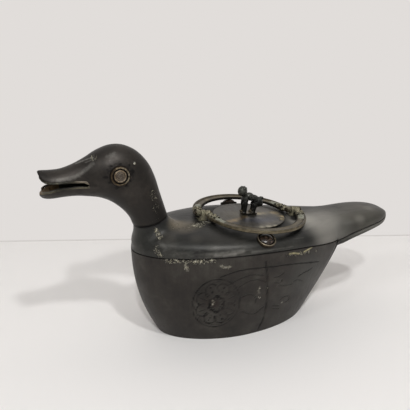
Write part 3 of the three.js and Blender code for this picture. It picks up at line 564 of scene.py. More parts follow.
def aged_metal(name, colours, crust, cloud=0.022, scrape=(1, 1, 1), roughness=0.46, metallic=0.55,
               bright="#A7A59E", grime_and_shade_colour="#0E0C0A"):
    """Old metal: cloudy oxide, fine scrape marks, dark dirt in hollows and cuts, painted shade in gaps and under
    parts, worn edges and painted highlights, and flaking crust.
    """
    material, tree, shader, where = started(name)
    marks = {key: add(tree, "ShaderNodeAttribute", attribute_name=key).outputs
             for key in ("crust", "groove", "rubbed_and_highlight", "grime_and_shade", "tint", "tinting")}
    clouds = add(tree, "ShaderNodeTexNoise", {"Vector": where, "Scale": 1 / cloud, "Detail": 5, "Roughness": 0.62})
    body = add(tree, "ShaderNodeValToRGB", {"Fac": clouds.outputs["Fac"]},
               [(0.3, linear(colours[0])), (0.5, linear(colours[1])), (0.7, linear(colours[2]))])
    along = add(tree, "ShaderNodeMapping", {"Vector": where, "Scale": scrape})
    scrapes = add(tree, "ShaderNodeTexNoise", {"Vector": along.outputs["Vector"], "Scale": 1 / 0.0024, "Detail": 5,
                                               "Roughness": 0.68})
    scraped = add(tree, "ShaderNodeMix", {"Factor": 0.5, "A": body.outputs["Color"], "B": scrapes.outputs["Fac"]},
                  data_type="RGBA", blend_type="OVERLAY")
    stained = add(tree, "ShaderNodeMix", {"Factor": marks["tinting"]["Fac"], "A": scraped.outputs["Result"],
                                          "B": marks["tint"]["Color"]}, data_type="RGBA")
    # one attribute lightens worn places, and painted highlights and sheen alike
    rub_and_highlight = add(tree, "ShaderNodeMath", {0: marks["rubbed_and_highlight"]["Fac"], 1: scrapes.outputs["Fac"]}, operation="MULTIPLY")
    rub_and_highlight_share = add(tree, "ShaderNodeMapRange", {"Value": rub_and_highlight.outputs["Value"], "From Min": 0.06, "From Max": 0.7})
    rubbed_and_highlight = add(tree, "ShaderNodeMix", {"Factor": rub_and_highlight_share.outputs["Result"], "A": stained.outputs["Result"],
                                         "B": linear(bright)}, data_type="RGBA")
    # lacy flakes about 2 mm across, each in a dark damp halo
    flakes = add(tree, "ShaderNodeTexNoise", {"Vector": where, "Scale": 1 / 0.0021, "Detail": 6, "Roughness": 0.7,
                                              "Distortion": 1.3})
    both = add(tree, "ShaderNodeMath", {0: marks["crust"]["Fac"], 1: 0.36, 2: flakes.outputs["Fac"]},
               operation="MULTIPLY_ADD")
    halo = add(tree, "ShaderNodeMapRange", {"Value": both.outputs["Value"], "From Min": 0.72, "From Max": 0.88,
                                            "To Max": 0.6})
    # grooves and the darkening attribute turn dark: that attribute holds grime and dark joints, and also painted
    # shade in gaps and under parts
    cuts = add(tree, "ShaderNodeMath", {0: marks["groove"]["Fac"], 1: marks["grime_and_shade"]["Fac"]}, operation="MAXIMUM")
    dark = add(tree, "ShaderNodeMath", {0: cuts.outputs["Value"], 1: halo.outputs["Result"]}, operation="MAXIMUM")
    grime_and_shade_mixed = add(tree, "ShaderNodeMix", {"Factor": dark.outputs["Value"], "A": rubbed_and_highlight.outputs["Result"],
                                         "B": linear(grime_and_shade_colour)}, data_type="RGBA")
    # grit of about 0.8 mm, drawn twice as coarse as real so that it shows
    grit = add(tree, "ShaderNodeTexNoise", {"Vector": where, "Scale": 1 / 0.0016, "Detail": 4, "Roughness": 0.7})
    tint = add(tree, "ShaderNodeValToRGB", {"Fac": grit.outputs["Fac"]},
               [(0.36, linear(crust[0])), (0.5, linear(crust[1])), (0.66, linear(crust[2]))])
    flaking = add(tree, "ShaderNodeMapRange", {"Value": both.outputs["Value"], "From Min": 0.83, "From Max": 0.89})
    crusted = add(tree, "ShaderNodeMix", {"Factor": flaking.outputs["Result"], "A": grime_and_shade_mixed.outputs["Result"],
                                          "B": tint.outputs["Color"]}, data_type="RGBA")
    tree.links.new(crusted.outputs["Result"], shader.inputs["Base Color"])
    shader.inputs["Metallic"].default_value = metallic
    gloss = add(tree, "ShaderNodeMapRange", {"Value": scrapes.outputs["Fac"], "From Min": 0.3, "From Max": 0.7,
                                             "To Min": roughness - 0.08, "To Max": roughness + 0.1})
    dirt_and_shade = add(tree, "ShaderNodeMath", {0: dark.outputs["Value"], 1: flaking.outputs["Result"]}, operation="MAXIMUM")
    dull = add(tree, "ShaderNodeMix", {"Factor": dirt_and_shade.outputs["Value"], "A": gloss.outputs["Result"], "B": 0.9},
               data_type="FLOAT")
    tree.links.new(dull.outputs["Result"], shader.inputs["Roughness"])
    raised = add(tree, "ShaderNodeMath", {0: scrapes.outputs["Fac"], 1: 0.16, 2: flaking.outputs["Result"]},
                 operation="MULTIPLY_ADD")
    pitted = add(tree, "ShaderNodeMath", {0: grit.outputs["Fac"], 1: 0.14, 2: raised.outputs["Value"]},
                 operation="MULTIPLY_ADD")
    lowered = add(tree, "ShaderNodeMath", {0: marks["groove"]["Fac"], 1: -1.3, 2: pitted.outputs["Value"]},
                  operation="MULTIPLY_ADD")
    bump = add(tree, "ShaderNodeBump", {"Height": lowered.outputs["Value"], "Distance": 0.0005, "Strength": 0.8})
    tree.links.new(bump.outputs["Normal"], shader.inputs["Normal"])
    return material


def carved_stone(name, deep, middle, pale, roughness):
    """Dull polished stone with fine veins, darker in its grooves and where shade is painted on it."""
    material, tree, shader, where = started(name)
    veins = add(tree, "ShaderNodeTexNoise", {"Vector": where, "Scale": 1 / 0.0022, "Detail": 6, "Roughness": 0.65,
                                             "Distortion": 0.6})
    body = add(tree, "ShaderNodeValToRGB", {"Fac": veins.outputs["Fac"]},
               [(0.34, linear(deep)), (0.52, linear(middle)), (0.7, linear(pale))])
    hollow = add(tree, "ShaderNodeAttribute", attribute_name="grime_and_shade")
    shaded = add(tree, "ShaderNodeMix", {"Factor": hollow.outputs["Fac"], "A": body.outputs["Color"],
                                         "B": linear("#0F0A06")}, data_type="RGBA")
    tree.links.new(shaded.outputs["Result"], shader.inputs["Base Color"])
    shader.inputs["Roughness"].default_value = roughness
    bump = add(tree, "ShaderNodeBump", {"Height": veins.outputs["Fac"], "Distance": 0.0003, "Strength": 0.6})
    tree.links.new(bump.outputs["Normal"], shader.inputs["Normal"])
    return material


PALE_CRUST = ("#79745F", "#B5B09C", "#DEDACC")
GREEN_CRUST = ("#5F5F4A", "#989880", "#C4C4AE")

# pewter sheet raised over a stake and scraped upwards: leaden brown grey with faint upright streaks
hull_pewter = aged_metal("raised pewter sheet", ("#25221F", "#312D29", "#403D38"), PALE_CRUST, scrape=(1, 1, 0.12))
# the back's hammered sheet, cooler and a little smoother, rubbed by hands, with painted sheen on its top
back_pewter = aged_metal("hammered pewter sheet", ("#232322", "#2E2E2B", "#403F3B"), PALE_CRUST,
                         scrape=(0.25, 1, 1), roughness=0.42)
# hollow casting, wire brushed: the warmest and darkest of the pewter parts
head_pewter = aged_metal("cast pewter", ("#1D1A17", "#25211D", "#36312C"), PALE_CRUST, roughness=0.46)
# the lid is handled most: patchy oxide with straw coloured clouds, and a bluish painted sheen on its near slope
lid_pewter = aged_metal("handled pewter lid", ("#33322F", "#46433D", "#625D53"), ("#6B6148", "#9A8E70", "#CDBF9C"),
                        cloud=0.012, scrape=(1, 0.3, 1), roughness=0.36, metallic=0.6)
# the handle was cast in brass and filed: olive brown with bright worn edges and green grey crust at its ends
handle_brass = aged_metal("cast brass", ("#2F2A20", "#494234", "#6A6250"), GREEN_CRUST, cloud=0.005,
                          scrape=(0.3, 0.3, 1), roughness=0.42, metallic=0.7, bright="#A4977A", grime_and_shade_colour="#100E0A")
# thin brass bezels, dark with oxide and bright only on the lip that was rubbed over the stone
bezel_brass = aged_metal("rubbed brass bezel", ("#2A2217", "#3D3222", "#5A4B33"), PALE_CRUST, cloud=0.003,
                         roughness=0.4, metallic=0.7, bright="#B3A892", grime_and_shade_colour="#0D0A07")
# brass lips of the bill, olive from old wine
lip_brass = aged_metal("olive brass lip", ("#171610", "#28261D", "#423D2F"), GREEN_CRUST, cloud=0.004,
                       roughness=0.45, metallic=0.6, bright="#8F8872", grime_and_shade_colour="#0A0907")
# blackened copper keeps the carved eye in its bezel: a dull ring, nearly black
black_ring = aged_metal("blackened copper", ("#080706", "#100D0B", "#1C1814"), GREEN_CRUST, roughness=0.5)
# small bronze casting gone near black, with a soft shine on its high places
knob_bronze = aged_metal("black bronze casting", ("#0F0F0E", "#191917", "#2A2B27"), GREEN_CRUST, cloud=0.004,
                         roughness=0.36, metallic=0.6, bright="#6E6F66", grime_and_shade_colour="#050504")
# amber carved in rings and grown dull
eye_amber = carved_stone("carved amber", "#40321F", "#75654F", "#A39480", 0.5)
# agate dome, polished, with a soft shine
stud_agate = carved_stone("brown agate", "#120D0A", "#2B211A", "#605045", 0.24)

# Camera: as the photograph was taken, 20 degrees above the horizon and turned 17.4 degrees to the left
TURN, RISE, ROLL = math.radians(-17.4), math.radians(20), math.radians(-0.5)
camera = bpy.data.objects.new("camera", bpy.data.cameras.new("camera"))
bpy.context.scene.collection.objects.link(camera)
bpy.context.scene.camera = camera
SENSOR, LENS = 36, 49.43
AIM, DISTANCE = Vector((-0.0246, 0, 0.1175)), 0.5039
camera.data.sensor_width, camera.data.lens = SENSOR, LENS
camera.data.clip_start, camera.data.clip_end = 0.01, 20
back = Vector((math.sin(TURN) * math.cos(RISE), -math.cos(TURN) * math.cos(RISE), math.sin(RISE)))
level = (-back).cross(Vector((0, 0, 1))).normalized()
above = level.cross(-back)
right = level * math.cos(ROLL) + above * math.sin(ROLL)
up = above * math.cos(ROLL) - level * math.sin(ROLL)
camera.matrix_world = Matrix.Translation(AIM + back * DISTANCE) @ Matrix((right, up, back)).transposed().to_4x4()

# Floor and wall: a pale table top against a pale wall 189 mm behind the jug
STAGE_SIZE = 6
WALL_DISTANCE, WALL_MIDDLE, WALL_TURN = 0.1886, 2.9, TURN + 0.016
away = Vector((-math.sin(TURN), math.cos(TURN), 0))
deselect()
bpy.ops.mesh.primitive_plane_add(size=STAGE_SIZE)
floor = bpy.context.object
floor.name = "floor"
bpy.ops.mesh.primitive_plane_add(size=STAGE_SIZE, rotation=(math.pi / 2, 0, WALL_TURN),
                                 location=away * WALL_DISTANCE + Vector((0, 0, WALL_MIDDLE)))
wall = bpy.context.object
wall.name = "wall"

floor_paint, tree, shader, where = started("white table top, matt")
shader.inputs["Base Color"].default_value = linear("#ECEAE8")
shader.inputs["Roughness"].default_value = 0.7
floor.data.materials.append(floor_paint)

wall_paint, tree, shader, where = started("white wall, matt")
shader.inputs["Base Color"].default_value = linear("#E6E2DE")
shader.inputs["Roughness"].default_value = 0.9
path = add(tree, "ShaderNodeLightPath")
facing = add(tree, "ShaderNodeNewGeometry")
seen = add(tree, "ShaderNodeMath", {0: path.outputs["Is Camera Ray"], 1: path.outputs["Is Glossy Ray"]},
           operation="MAXIMUM")
shown = add(tree, "ShaderNodeMath", {0: seen.outputs["Value"], 1: path.outputs["Is Transmission Ray"]},
            operation="MAXIMUM")
# the wall's foot is painted darker over its lowest 2 mm: a painted shadow line where it meets the table
height = add(tree, "ShaderNodeSeparateXYZ", {"Vector": where})
painted_shadow_line = add(tree, "ShaderNodeMapRange", {"Value": height.outputs["Y"], "From Min": -WALL_MIDDLE,
                                             "From Max": 0.002 - WALL_MIDDLE})
shade = add(tree, "ShaderNodeMix", {"Factor": painted_shadow_line.outputs["Result"], "A": linear("#C2BDB9"),
                                    "B": linear("#E1DDDA")}, data_type="RGBA")
glow = add(tree, "ShaderNodeEmission", {"Color": shade.outputs["Result"], "Strength": 1})
front_side = add(tree, "ShaderNodeMixShader", {"Fac": shown.outputs["Value"], 1: shader.outputs["BSDF"],
                                               2: glow.outputs["Emission"]})
clear = add(tree, "ShaderNodeBsdfTransparent")
both_sides = add(tree, "ShaderNodeMixShader", {"Fac": facing.outputs["Backfacing"], 1: front_side.outputs["Shader"],
                                               2: clear.outputs["BSDF"]})
tree.links.new(both_sides.outputs["Shader"], tree.nodes["Material Output"].inputs["Surface"])
wall.data.materials.append(wall_paint)

# Light: a bright even room and ceiling lamps in front of the jug
world = bpy.data.worlds.new("room")
bpy.context.scene.world = world
world.use_nodes = True
world.node_tree.nodes["Background"].inputs["Color"].default_value = linear("#F4F3F3")
world.node_tree.nodes["Background"].inputs["Strength"].default_value = 0.42
for name, toward, distance, size, watts in [("lamp_front", (13, -86, 150), 1.7, 0.12, 7.6),
                                            ("lamp_left", (-22, -77, 90), 1.7, 0.1, 7),
                                            ("lamp_far_left", (-75, -45, 90), 1.9, 0.25, 3.0)]:
    data = bpy.data.lights.new(name, "AREA")
    data.shape, data.size, data.energy = "DISK", size, watts
    lamp = bpy.data.objects.new(name, data)
    bpy.context.scene.collection.objects.link(lamp)
    direction = Vector(toward).normalized()
    lamp.location = direction * distance
    lamp.rotation_euler = direction.to_track_quat("Z", "Y").to_euler()
bpy.context.scene.view_settings.view_transform = "Standard"


def dressed(piece, body, slot, material, *nodes):
    """Gives a finished piece its material and body, and hides the solids that it stands for; the slot is not used."""
    piece.data.materials.clear()
    piece.data.materials.append(material)
    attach(piece, body)
    if nodes:
        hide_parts(*nodes)
    return piece


# Hull
HULL_COLUMNS, HULL_ROWS, LINING_ROWS = 400, 108, 12


def hull_piece():
    line = stations(SEAM_FRONT, STERN_END, HULL_COLUMNS // 2)
    step = min(range(len(line)), key=lambda i: abs(line[i] - STERN_CORNER))
    # two columns stand close together at the stern's corner and keep it sharp
    line[step], line[step + 1] = STERN_CORNER - 0.02, STERN_CORNER + 0.02
    outer = [(i / HULL_ROWS, 0) for i in range(HULL_ROWS + 1)]
    inner = [(1 - i / LINING_ROWS, WALL) for i in range(LINING_ROWS + 1)]
    levels = outer + inner + [(0, 0)]

    def place(column, row):
        near = column <= HULL_COLUMNS // 2
        x = line[column if near else HULL_COLUMNS - column]
        y = hull_half_width(x) * (-1 if near else 1)
        share, wall = levels[row]
        top = (stern_rim(y) - GAP / 2) / (STERN_TOP - GAP / 2) if x > STERN_CORNER else 1
        return hull_point(x, y, share * top, wall)

    piece = wrapped("hull_shell", HULL_COLUMNS, len(levels) - 1, place)
    bevelled(piece, 0.15, segments=2, degrees=55)
    return smooth(piece, 50)


# Ornament cut into the hull's sides: a round flower and long feather strokes, as [x, height] in millimetres
ROUNDEL = (-29, 42, 20.3, 26)      # middle, then half width and half height
FEATHERS = [
    [(-27, 70), (-15, 74), (-1, 75.3), (20, 73.5), (43, 70.6), (73, 63.2)],
    [(-19, 62), (-9, 67), (1, 69), (12, 66)],
    [(-11, 58), (-2, 63), (7, 63), (14, 59)],
    [(48.9, 54.9), (55.3, 56.9), (62, 57.7), (65.2, 59)],
    [(45, 51.1), (49.4, 51.4), (55.7, 47.5)],
    [(22.9, 62), (27.2, 61.8), (32.2, 64.1)],
    [(23.7, 55.9), (29.3, 54.2), (31.1, 56.9)],
    [(28.5, 51.7), (35.3, 49.3), (43.2, 48.3)],
    [(-6, 31), (6, 25), (15, 31)],
    [(-8, 47), (0, 49), (6, 44), (6, 38)],
    [(33, 34.1), (37.2, 36.2), (41.8, 34.7), (42.5, 29.9), (39.3, 28.6)],
    [(24.8, 29.5), (32.9, 26.8)],
    [(25.3, 25.9), (33.4, 23.1)],
    [(-24, 26), (-18, 23), (-16, 26)],
]
SIDE_SEAM = [(12.6, 80), (15.7, 60.4), (17.9, 38), (17.5, 17.6), (14, 4)]


def roundel_distance(flat):
    """Distance in millimetres to the flower's lines: two rings, eight petals, a heart with its own petals."""
    x, z, rx, rz = ROUNDEL
    mean = (rx + rz) / 2
    q = np.stack([(flat[:, 0] - x) / rx, (flat[:, 1] - z) / rz], 1)
    radius = np.linalg.norm(q, axis=1)
    best = np.minimum(np.abs(radius - 1), np.abs(radius - 0.91) + 0.02)
    for count, place, size in [(8, 0.6, 0.27), (6, 0.24, 0.13)]:
        for i in range(count):
            turn = 2 * math.pi * (i + 0.5) / count
            centre = place * np.array([math.cos(turn), math.sin(turn)])
            arc = np.abs(np.linalg.norm(q - centre, axis=1) - size)
            outward = radius > place - size * 0.4
            best = np.where(outward, np.minimum(best, arc), best)
            tip = (place + size) * np.array([math.cos(turn), math.sin(turn)])
            vein = stroke_distance(q, [centre * 0.8, tip * 0.88])
            best = np.minimum(best, vein + 0.012)
    best = np.minimum(best, np.abs(radius - 0.3))
    return best * mean


def hull_wear(piece):
    points = points_of(piece)
    flat = points[:, [0, 2]]
    near = points[:, 1] < 0
    outside = 1.0 * (np.abs(points[:, 1]) > 20)
    lines = falloff(roundel_distance(flat), 0.25, 0.95)
    fade = np.where(flat[:, 0] > ROUNDEL[0] + 6, 0.55, 1.0)
    uneven = 0.7 + 0.3 * np.sin(0.55 * flat[:, 0] + 2 * np.sin(0.35 * flat[:, 1]))
    lines = lines * fade * uneven
    for i, stroke in enumerate(FEATHERS):
        depth = 0.95 if i in (0, 3) else 0.6
        lines = np.maximum(lines, depth * falloff(stroke_distance(flat, curved(stroke)), 0.15, 0.75))
    seam = 0.75 * uneven * falloff(stroke_distance(flat, curved(SIDE_SEAM)), 0.2, 1.7)
    lines = np.maximum(lines, seam)
    marked(piece, "groove", lines * outside)
    top = np.array([seam_height(min(x, STERN_CORNER)) for x in points[:, 0]]) - points[:, 2]
    along_seam = falloff(np.abs(points[:, 0] + 50), 17, 32) * falloff(top, 2.5, 8) * 0.88
    places = [(-54, -41.3, 79, 3.5, 0.95), (-55.5, -41.3, 82, 3, 0.9), (-25, -50.3, 80.5, 4, 0.8),
              (-20, -51.2, 79, 3.5, 0.85), (34, -50, 82, 3, 0.7), (38, -49, 81, 3, 0.8), (43, -48, 80.5, 3.5, 0.85),
              (49, -46.7, 79.6, 3.5, 0.9), (54, -45, 79, 3, 0.8), (58, -43.8, 78.4, 3, 0.95),
              (9, -49.6, 53, 2.6, 0.85), (8.5, -48.5, 50, 2.2, 0.8), (10, -47.7, 43.6, 2.6, 0.85),
              (14, -48.5, 62, 3.5, 0.65), (16, -47.5, 52, 3.5, 0.6), (17, -46, 40, 3.5, 0.55),
              (35.9, -41, 29.2, 1.6, 1), (-32, -44.6, 46, 1.8, 0.95), (-30.5, -44.4, 42.5, 1.6, 1),
              (67, -40.5, 77, 2.5, 0.8), (72, -38.6, 78, 2.2, 0.8)]
    marked(piece, "crust", np.maximum(along_seam * near, spots(points, places)))
    painted(piece, points, [(-31, -44.5, 43, 8, 0.85, "#1E140E"), (-37, -42, 47, 8, 0.45, "#241C16"),
                            (-50, -36, 17, 6, 0.6, "#1C1714"), (-63, -31, 53, 4, 0.5, "#1C1714"),
                            (14, -39, 9, 6, 0.5, "#181310"), (16, -41, 16, 4, 0.4, "#181310"),
                            (14.5, -48, 62, 8, 0.5, "#2B221B"), (17, -46, 45, 8, 0.45, "#2B221B"),
                            (60, -38, 55, 34, 0.35, "#4B4C49"), (72, -33, 40, 20, 0.3, "#504F4B"),
                            (-36, -44, 60, 18, 0.4, "#1E1B18")]
            + dabs([(-55.5, -41.3, 82), (-54, -41.3, 79), (-53.3, -41.3, 76.5)], 1.4, 0.6, "#BDB8A6")
            + dabs([(36, -49.5, 82.5), (41, -48.6, 82), (47, -47, 79.8)], 1.3, 0.75, "#BDB48A")
            + dabs([(52, -46, 80.3), (57, -44.5, 81.5), (61, -43, 82.3)], 1.3, 0.75, "#BDB48A")
            + dabs([(-27, -49.8, 81), (-23, -50.5, 79.2), (-19, -51.3, 79.5)], 1.6, 0.5, "#A9A595")
            + dabs([(-33, -44.6, 47), (-31.6, -44.5, 44.5), (-32.4, -44.4, 42)], 1.1, 0.7, "#CFC8B6")
            + dabs([(9, -49.6, 55), (8, -49.4, 51), (9.4, -48.7, 48)], 1.2, 0.3, "#A8A294")
            + dabs([(35.5, -41, 29.2), (36.3, -41, 29.4)], 1.4, 0.8, "#D8D2C2"))
    marked(piece, "rubbed_and_highlight", spots(points, [(-16, -38.9, 6, 10, 0.12), (-32, -37.3, 11, 7, 0.1)]))
    marked(piece, "grime_and_shade", falloff(top, 0.15, 1.1) * 0.8)


hull = hull_piece()
hull_wear(hull)
dressed(hull, "jug", "pewter", hull_pewter, "hull")


# Neck sections: ovals between a throat point and a crown point

def oval(section, wall=0, count=72):
    throat_x, throat_z, crown_x, crown_z, half = section
    centre = Vector(((throat_x + crown_x) / 2, 0, HULL_HEIGHT + (throat_z + crown_z) / 2))
    upward = Vector((crown_x - throat_x, 0, crown_z - throat_z)) / 2
    scale = inset(upward.length, wall) / upward.length
    return [centre + upward * scale * math.cos(2 * math.pi * i / count)
            + Vector((0, inset(half, wall) * math.sin(2 * math.pi * i / count), 0)) for i in range(count)]


def between(sections, per_step):
    """Finer sections, that many to each step between the given ones."""
    columns = [through([(i, section[k]) for i, section in enumerate(sections)]) for k in range(5)]
    count = (len(sections) - 1) * per_step
    return [tuple(column(i / per_step) for column in columns) for i in range(count + 1)]


def shifted(section, distance):
    """A section moved square to itself."""
    throat_x, throat_z, crown_x, crown_z, half = section
    length = math.hypot(crown_x - throat_x, crown_z - throat_z)
    dx, dz = -(crown_z - throat_z) / length * distance, (crown_x - throat_x) / length * distance
    return (throat_x + dx, throat_z + dz, crown_x + dx, crown_z + dz, half)


def tube(name, loops):
    """Closed skin over rings of equally many points, with both ends filled."""
    count = len(loops[0])
    return wrapped(name, count, len(loops) - 1, lambda column, row: loops[row][column % count], capped=True)


# Back and tail

def back_arch(x, wall, steps):
    """One cross section of the back, from edge to edge over the crown."""
    rim = seam_height(x)
    half = inset(back_half_width(x), wall)
    rise = inset(crown_height(x) - rim, wall)
    if wall and x > DECK_X:
        place_x = x - TIP_WALL * (x - DECK_X) / (TAIL_TIP - DECK_X)
    elif wall:
        place_x = x + WALL * (DECK_X - x) / (DECK_X - SEAM_FRONT)
    else:
        place_x = x
    arch = []
    for i in range(steps + 1):
        cosine, sine = math.cos(math.pi * i / steps), math.sin(math.pi * i / steps)
        y = -half * math.copysign(abs(cosine) ** (2 / BACK_POWER), cosine)
        arch.append((place_x, y, rim + GAP / 2 + rise * max(sine, 0) ** (2 / BACK_POWER)))
    return arch


def seat_matrix(place, normal):
    """Where a turned piece sits, its own axis turned to the normal."""
    return Matrix.Translation(Vector(place) * MM) @ Vector((0, 0, 1)).rotation_difference(normal).to_matrix().to_4x4()


def stud_seat(side):
    y = STUD_SHARE * back_half_width(STUD_X)
    slope_x = back_height(STUD_X - 0.5, y) - back_height(STUD_X + 0.5, y)
    slope_y = back_height(STUD_X, y - 0.5) - back_height(STUD_X, y + 0.5)
    normal = Vector((slope_x, slope_y, 1)).normalized()
    place = Vector((STUD_X, y, back_height(STUD_X, y))) - normal * STUD_SINK
    return seat_matrix((place.x, side * place.y, place.z), Vector((normal.x, side * normal.y, normal.z)))


def drawn_in(piece):
    """Draws the tail's tip in to a rounder point."""
    start, shorter, slimmer = 138, 2.1, 0.1
    points = coordinates(piece)
    share = np.clip((points[:, 0] / MM - start) / (TAIL_TIP - start), 0, 1)
    points[:, 0] -= shorter * MM * share ** 3
    points[:, 1] *= 1 - slimmer * share ** 2
    piece.data.vertices.foreach_set("co", points.astype(np.float32).ravel())
    piece.data.update()


def back_piece():
    line = stations(SEAM_FRONT, TAIL_TIP, 150)
    loops = [back_arch(x, 0, 72) + back_arch(x, WALL, 48)[::-1] for x in line]
    count = len(loops[0])
    dome = wrapped("back_dome", count, len(line) - 1, lambda column, row: loops[row][column % count])
    stub_top = shifted(NECK_SEAM, -GAP / 2)
    stub = between(NECK_STUB[:-1] + [stub_top], 6)
    dome = joined("back_dome", [dome, tube("stub", [oval(section) for section in stub])])
    piece = fused("back_shell_dressed", [dome], voxel=0.9, rounds=4)

    def at_neck(points):
        weight = falloff(np.hypot((points[:, 0] + 70) / 1.35, points[:, 1]), 19, 30)
        return weight * falloff(points[:, 2], 105, 108.5) * falloff(-points[:, 2], -95, -90)

    smoothed_near(piece, at_neck, rounds=90)

    def at_tail_tip(points):
        return falloff(-points[:, 0], -163, -153)

    smoothed_near(piece, at_tail_tip, rounds=12)

    def over_stern(points):
        rim = np.array([seam_height(x) for x in points[:, 0]])
        return falloff(np.abs(points[:, 0] - STERN_CORNER), 5, 18) * falloff(rim - points[:, 2], -6, -2.5)

    smoothed_near(piece, over_stern, rounds=60)
    drawn_in(piece)
    foot = (stub[0][0], stub[0][1] - 6, stub[0][2], stub[0][3] - 12, stub[0][4])
    bore = [oval(foot, CAST_WALL)] + [oval(section, CAST_WALL) for section in stub + [shifted(stub_top, 1.5)]]
    cut(piece, tube("bore", bore))
    mouth = MOUTH_RADIUS + COLLAR_WALL + GAP
    cut(piece, rod((0, 0, -mouth), (0, 0, mouth), mouth), DECK)
    for side in (-1, 1):
        bottom = back_below_deck(side * EAR_X) - 0.6
        cut(piece, block((side * EAR_X, 0, bottom + 0.65), (9.6, 9.6, 1.9)), DECK)
        cut(piece, rod((0, 0, -GAP), (0, 0, STUD_RADIUS), STUD_RADIUS + GAP), stud_seat(side))
    return smooth(piece, 50)


def neck_crack(points, near, far):
    """Dark line of the neck's soldered seam, deepest midway between throat and crown."""
    throat_x, throat_z, crown_x, crown_z, _ = NECK_SEAM
    square = np.array([throat_z - crown_z, 0, crown_x - throat_x])
    distance = np.abs((points - (throat_x, 0, HULL_HEIGHT + throat_z)) @ (square / np.linalg.norm(square)))
    return falloff(distance, near, far) * (0.3 + 0.7 * falloff(np.abs(points[:, 0] + 78), 7, 11))


def back_wear(piece):
    points = points_of(piece)
    seam = np.array([seam_height(x) for x in points[:, 0]])
    above_seam = points[:, 2] - seam
    near = 1.0 * (points[:, 1] < 0)
    places = [(-73.8, -17.2, 106.6, 3.2, 0.95), (-72.5, -19, 103.5, 3.4, 1), (-71.6, -21.9, 100.8, 3.8, 0.9),
              (-78.3, -20.3, 98.4, 8, 0.5), (-75.9, -27.6, 92.8, 5, 0.8), (-74, -30, 88.5, 4.5, 0.9),
              (-70, -31, 95, 12, 0.3), (-53.4, -6.2, 105.3, 9, 0.6), (-43.8, -17.3, 104.5, 9, 0.7),
              (-36, -13, 104.5, 8, 0.95), (-27.1, -9, 104.2, 6, 0.95), (-57, -14, 103.8, 8, 0.6),
              (-30, -17, 104.0, 6, 0.6), (58, -14, 98.5, 8, 0.5), (36, -50, 86.5, 5, 0.4)]
    crust = spots(points, places)
    crust = np.maximum(crust, near * falloff(np.abs(points[:, 0] + 52), 16, 32) * falloff(above_seam, 0.3, 3) * 0.7)
    marked(piece, "crust", crust)
    # Along the near shoulder the bright streaks are wear and painted highlights together; the broad ones on the tail
    # and the one at the neck's base are painted sheen.
    handled = 0.16 * falloff(np.abs(points[:, 0] + 30), 25, 60) * falloff(above_seam, 6, 15)
    marked(piece, "rubbed_and_highlight", handled + streaks(points, [
        ([(-31, -49, 91), (-26, -50, 91.5), (-21, -51, 91.8)], 2.4, 0.35),
        ([(-24, -50.3, 90.6), (-15, -52, 91.2)], 2.2, 0.5),
        ([(-17, -51.2, 92.4), (-8, -52.4, 92.6)], 2.2, 0.38), ([(-38, -46, 91.5), (-28, -49.4, 92.2)], 1.8, 0.25),
        ([(-64, -34, 93.5), (-48, -42, 93.5), (-34, -46, 93.8)], 1.5, 0.3),
        ([(-60, -36, 91), (-45, -43.6, 90.6), (-36, -47, 90.4)], 1.2, 0.28),
        ([(-66, -30, 96), (-52, -36, 96.5), (-40, -42, 95.6)], 1.3, 0.22),
        ([(0, -53, 91), (20, -52, 90), (40, -49.5, 88.6)], 1.5, 0.25), ([(30, -47, 94), (52, -43, 92.4)], 1.6, 0.25),
        ([(55, -33, 95.8), (68, -28, 96.6), (80, -22, 97)], 5, 0.3), ([(58, -18, 98.2), (62, -24, 97.6)], 2.4, 0.4),
        ([(-72, -25, 98), (-69, -30, 95)], 4, 0.25), ([(74, -29, 95), (90, -20, 96.4)], 4, 0.25)]))
    # The pale greys along the top of the back and tail, and the one at the neck's base, are painted sheen where the
    # back faces up; the tan patches by the front lug are deposits, and the browns are stains.
    painted(piece, points, [(134.4, -0.4, 97.9, 9, 0.35, "#45372A"), (73, -38.8, 83, 3.5, 0.8, "#171410"),
                            (-47, -12, 105, 18, 0.6, "#6B6251"), (-54, -4, 105.5, 12, 0.7, "#7C725F"),
                            (-58, -10, 104, 10, 0.5, "#6E6656"), (-60, 4, 104.5, 12, 0.6, "#6A6150"),
                            (84, -20, 96, 38, 0.8, "#8F8D86"), (130, -10, 96, 42, 0.55, "#605D55"),
                            (64, -14, 98, 20, 0.65, "#B0ADA4"), (78, -34, 90, 20, 0.45, "#8F8C85"),
                            (-25, -44, 95, 30, 0.3, "#3A3733"), (10, -46, 94, 24, 0.35, "#2A2927"),
                            (-66, -24, 98, 12, 0.35, "#57544E"), (-70, -6, 112, 10, 0.3, "#33302C"),
                            (-44, -34, 99, 9, 0.4, "#4F4C46"), (-20, -34, 100, 10, 0.4, "#232220"),
                            (-50, -20, 103, 8, 0.5, "#4E483E"), (40, -40, 94, 9, 0.35, "#252422"),
                            (112, -16, 96, 12, 0.35, "#5A5850"), (122, -22, 94, 8, 0.4, "#85827A"),
                            (140, -8, 97, 8, 0.35, "#7C796F"), (104, -26, 92, 9, 0.35, "#4E4C47")])
    shade = np.hypot(points[:, 0] - DECK_X, points[:, 1])
    grime_and_shade = falloff(above_seam, 0.1, 0.9) * 0.75
    grime_and_shade = np.maximum(grime_and_shade, neck_crack(points, 0.5, 1.5) * (points[:, 0] < -50))
    # painted shade in the deep gap between the lid's edge and the handle's band, on the right
    slot = [(DECK @ (Vector(place) * MM)) / MM for place in ((53, 15, -2), (47, 4, -2), (41, -12, -2))]
    grime_and_shade = np.maximum(grime_and_shade, 0.95 * falloff(stroke_distance(points, slot), 2.5, 7))
    # a faint ring of painted shade round the lid's edge is added here
    marked(piece, "grime_and_shade", np.maximum(grime_and_shade, 0.35 * falloff(np.abs(shade - 33), 1, 7) * (above_seam > 5)))


back_shell = back_piece()
back_wear(back_shell)
dressed(back_shell, "jug", "pewter", back_pewter, "back_shell")


# Plate under the tail

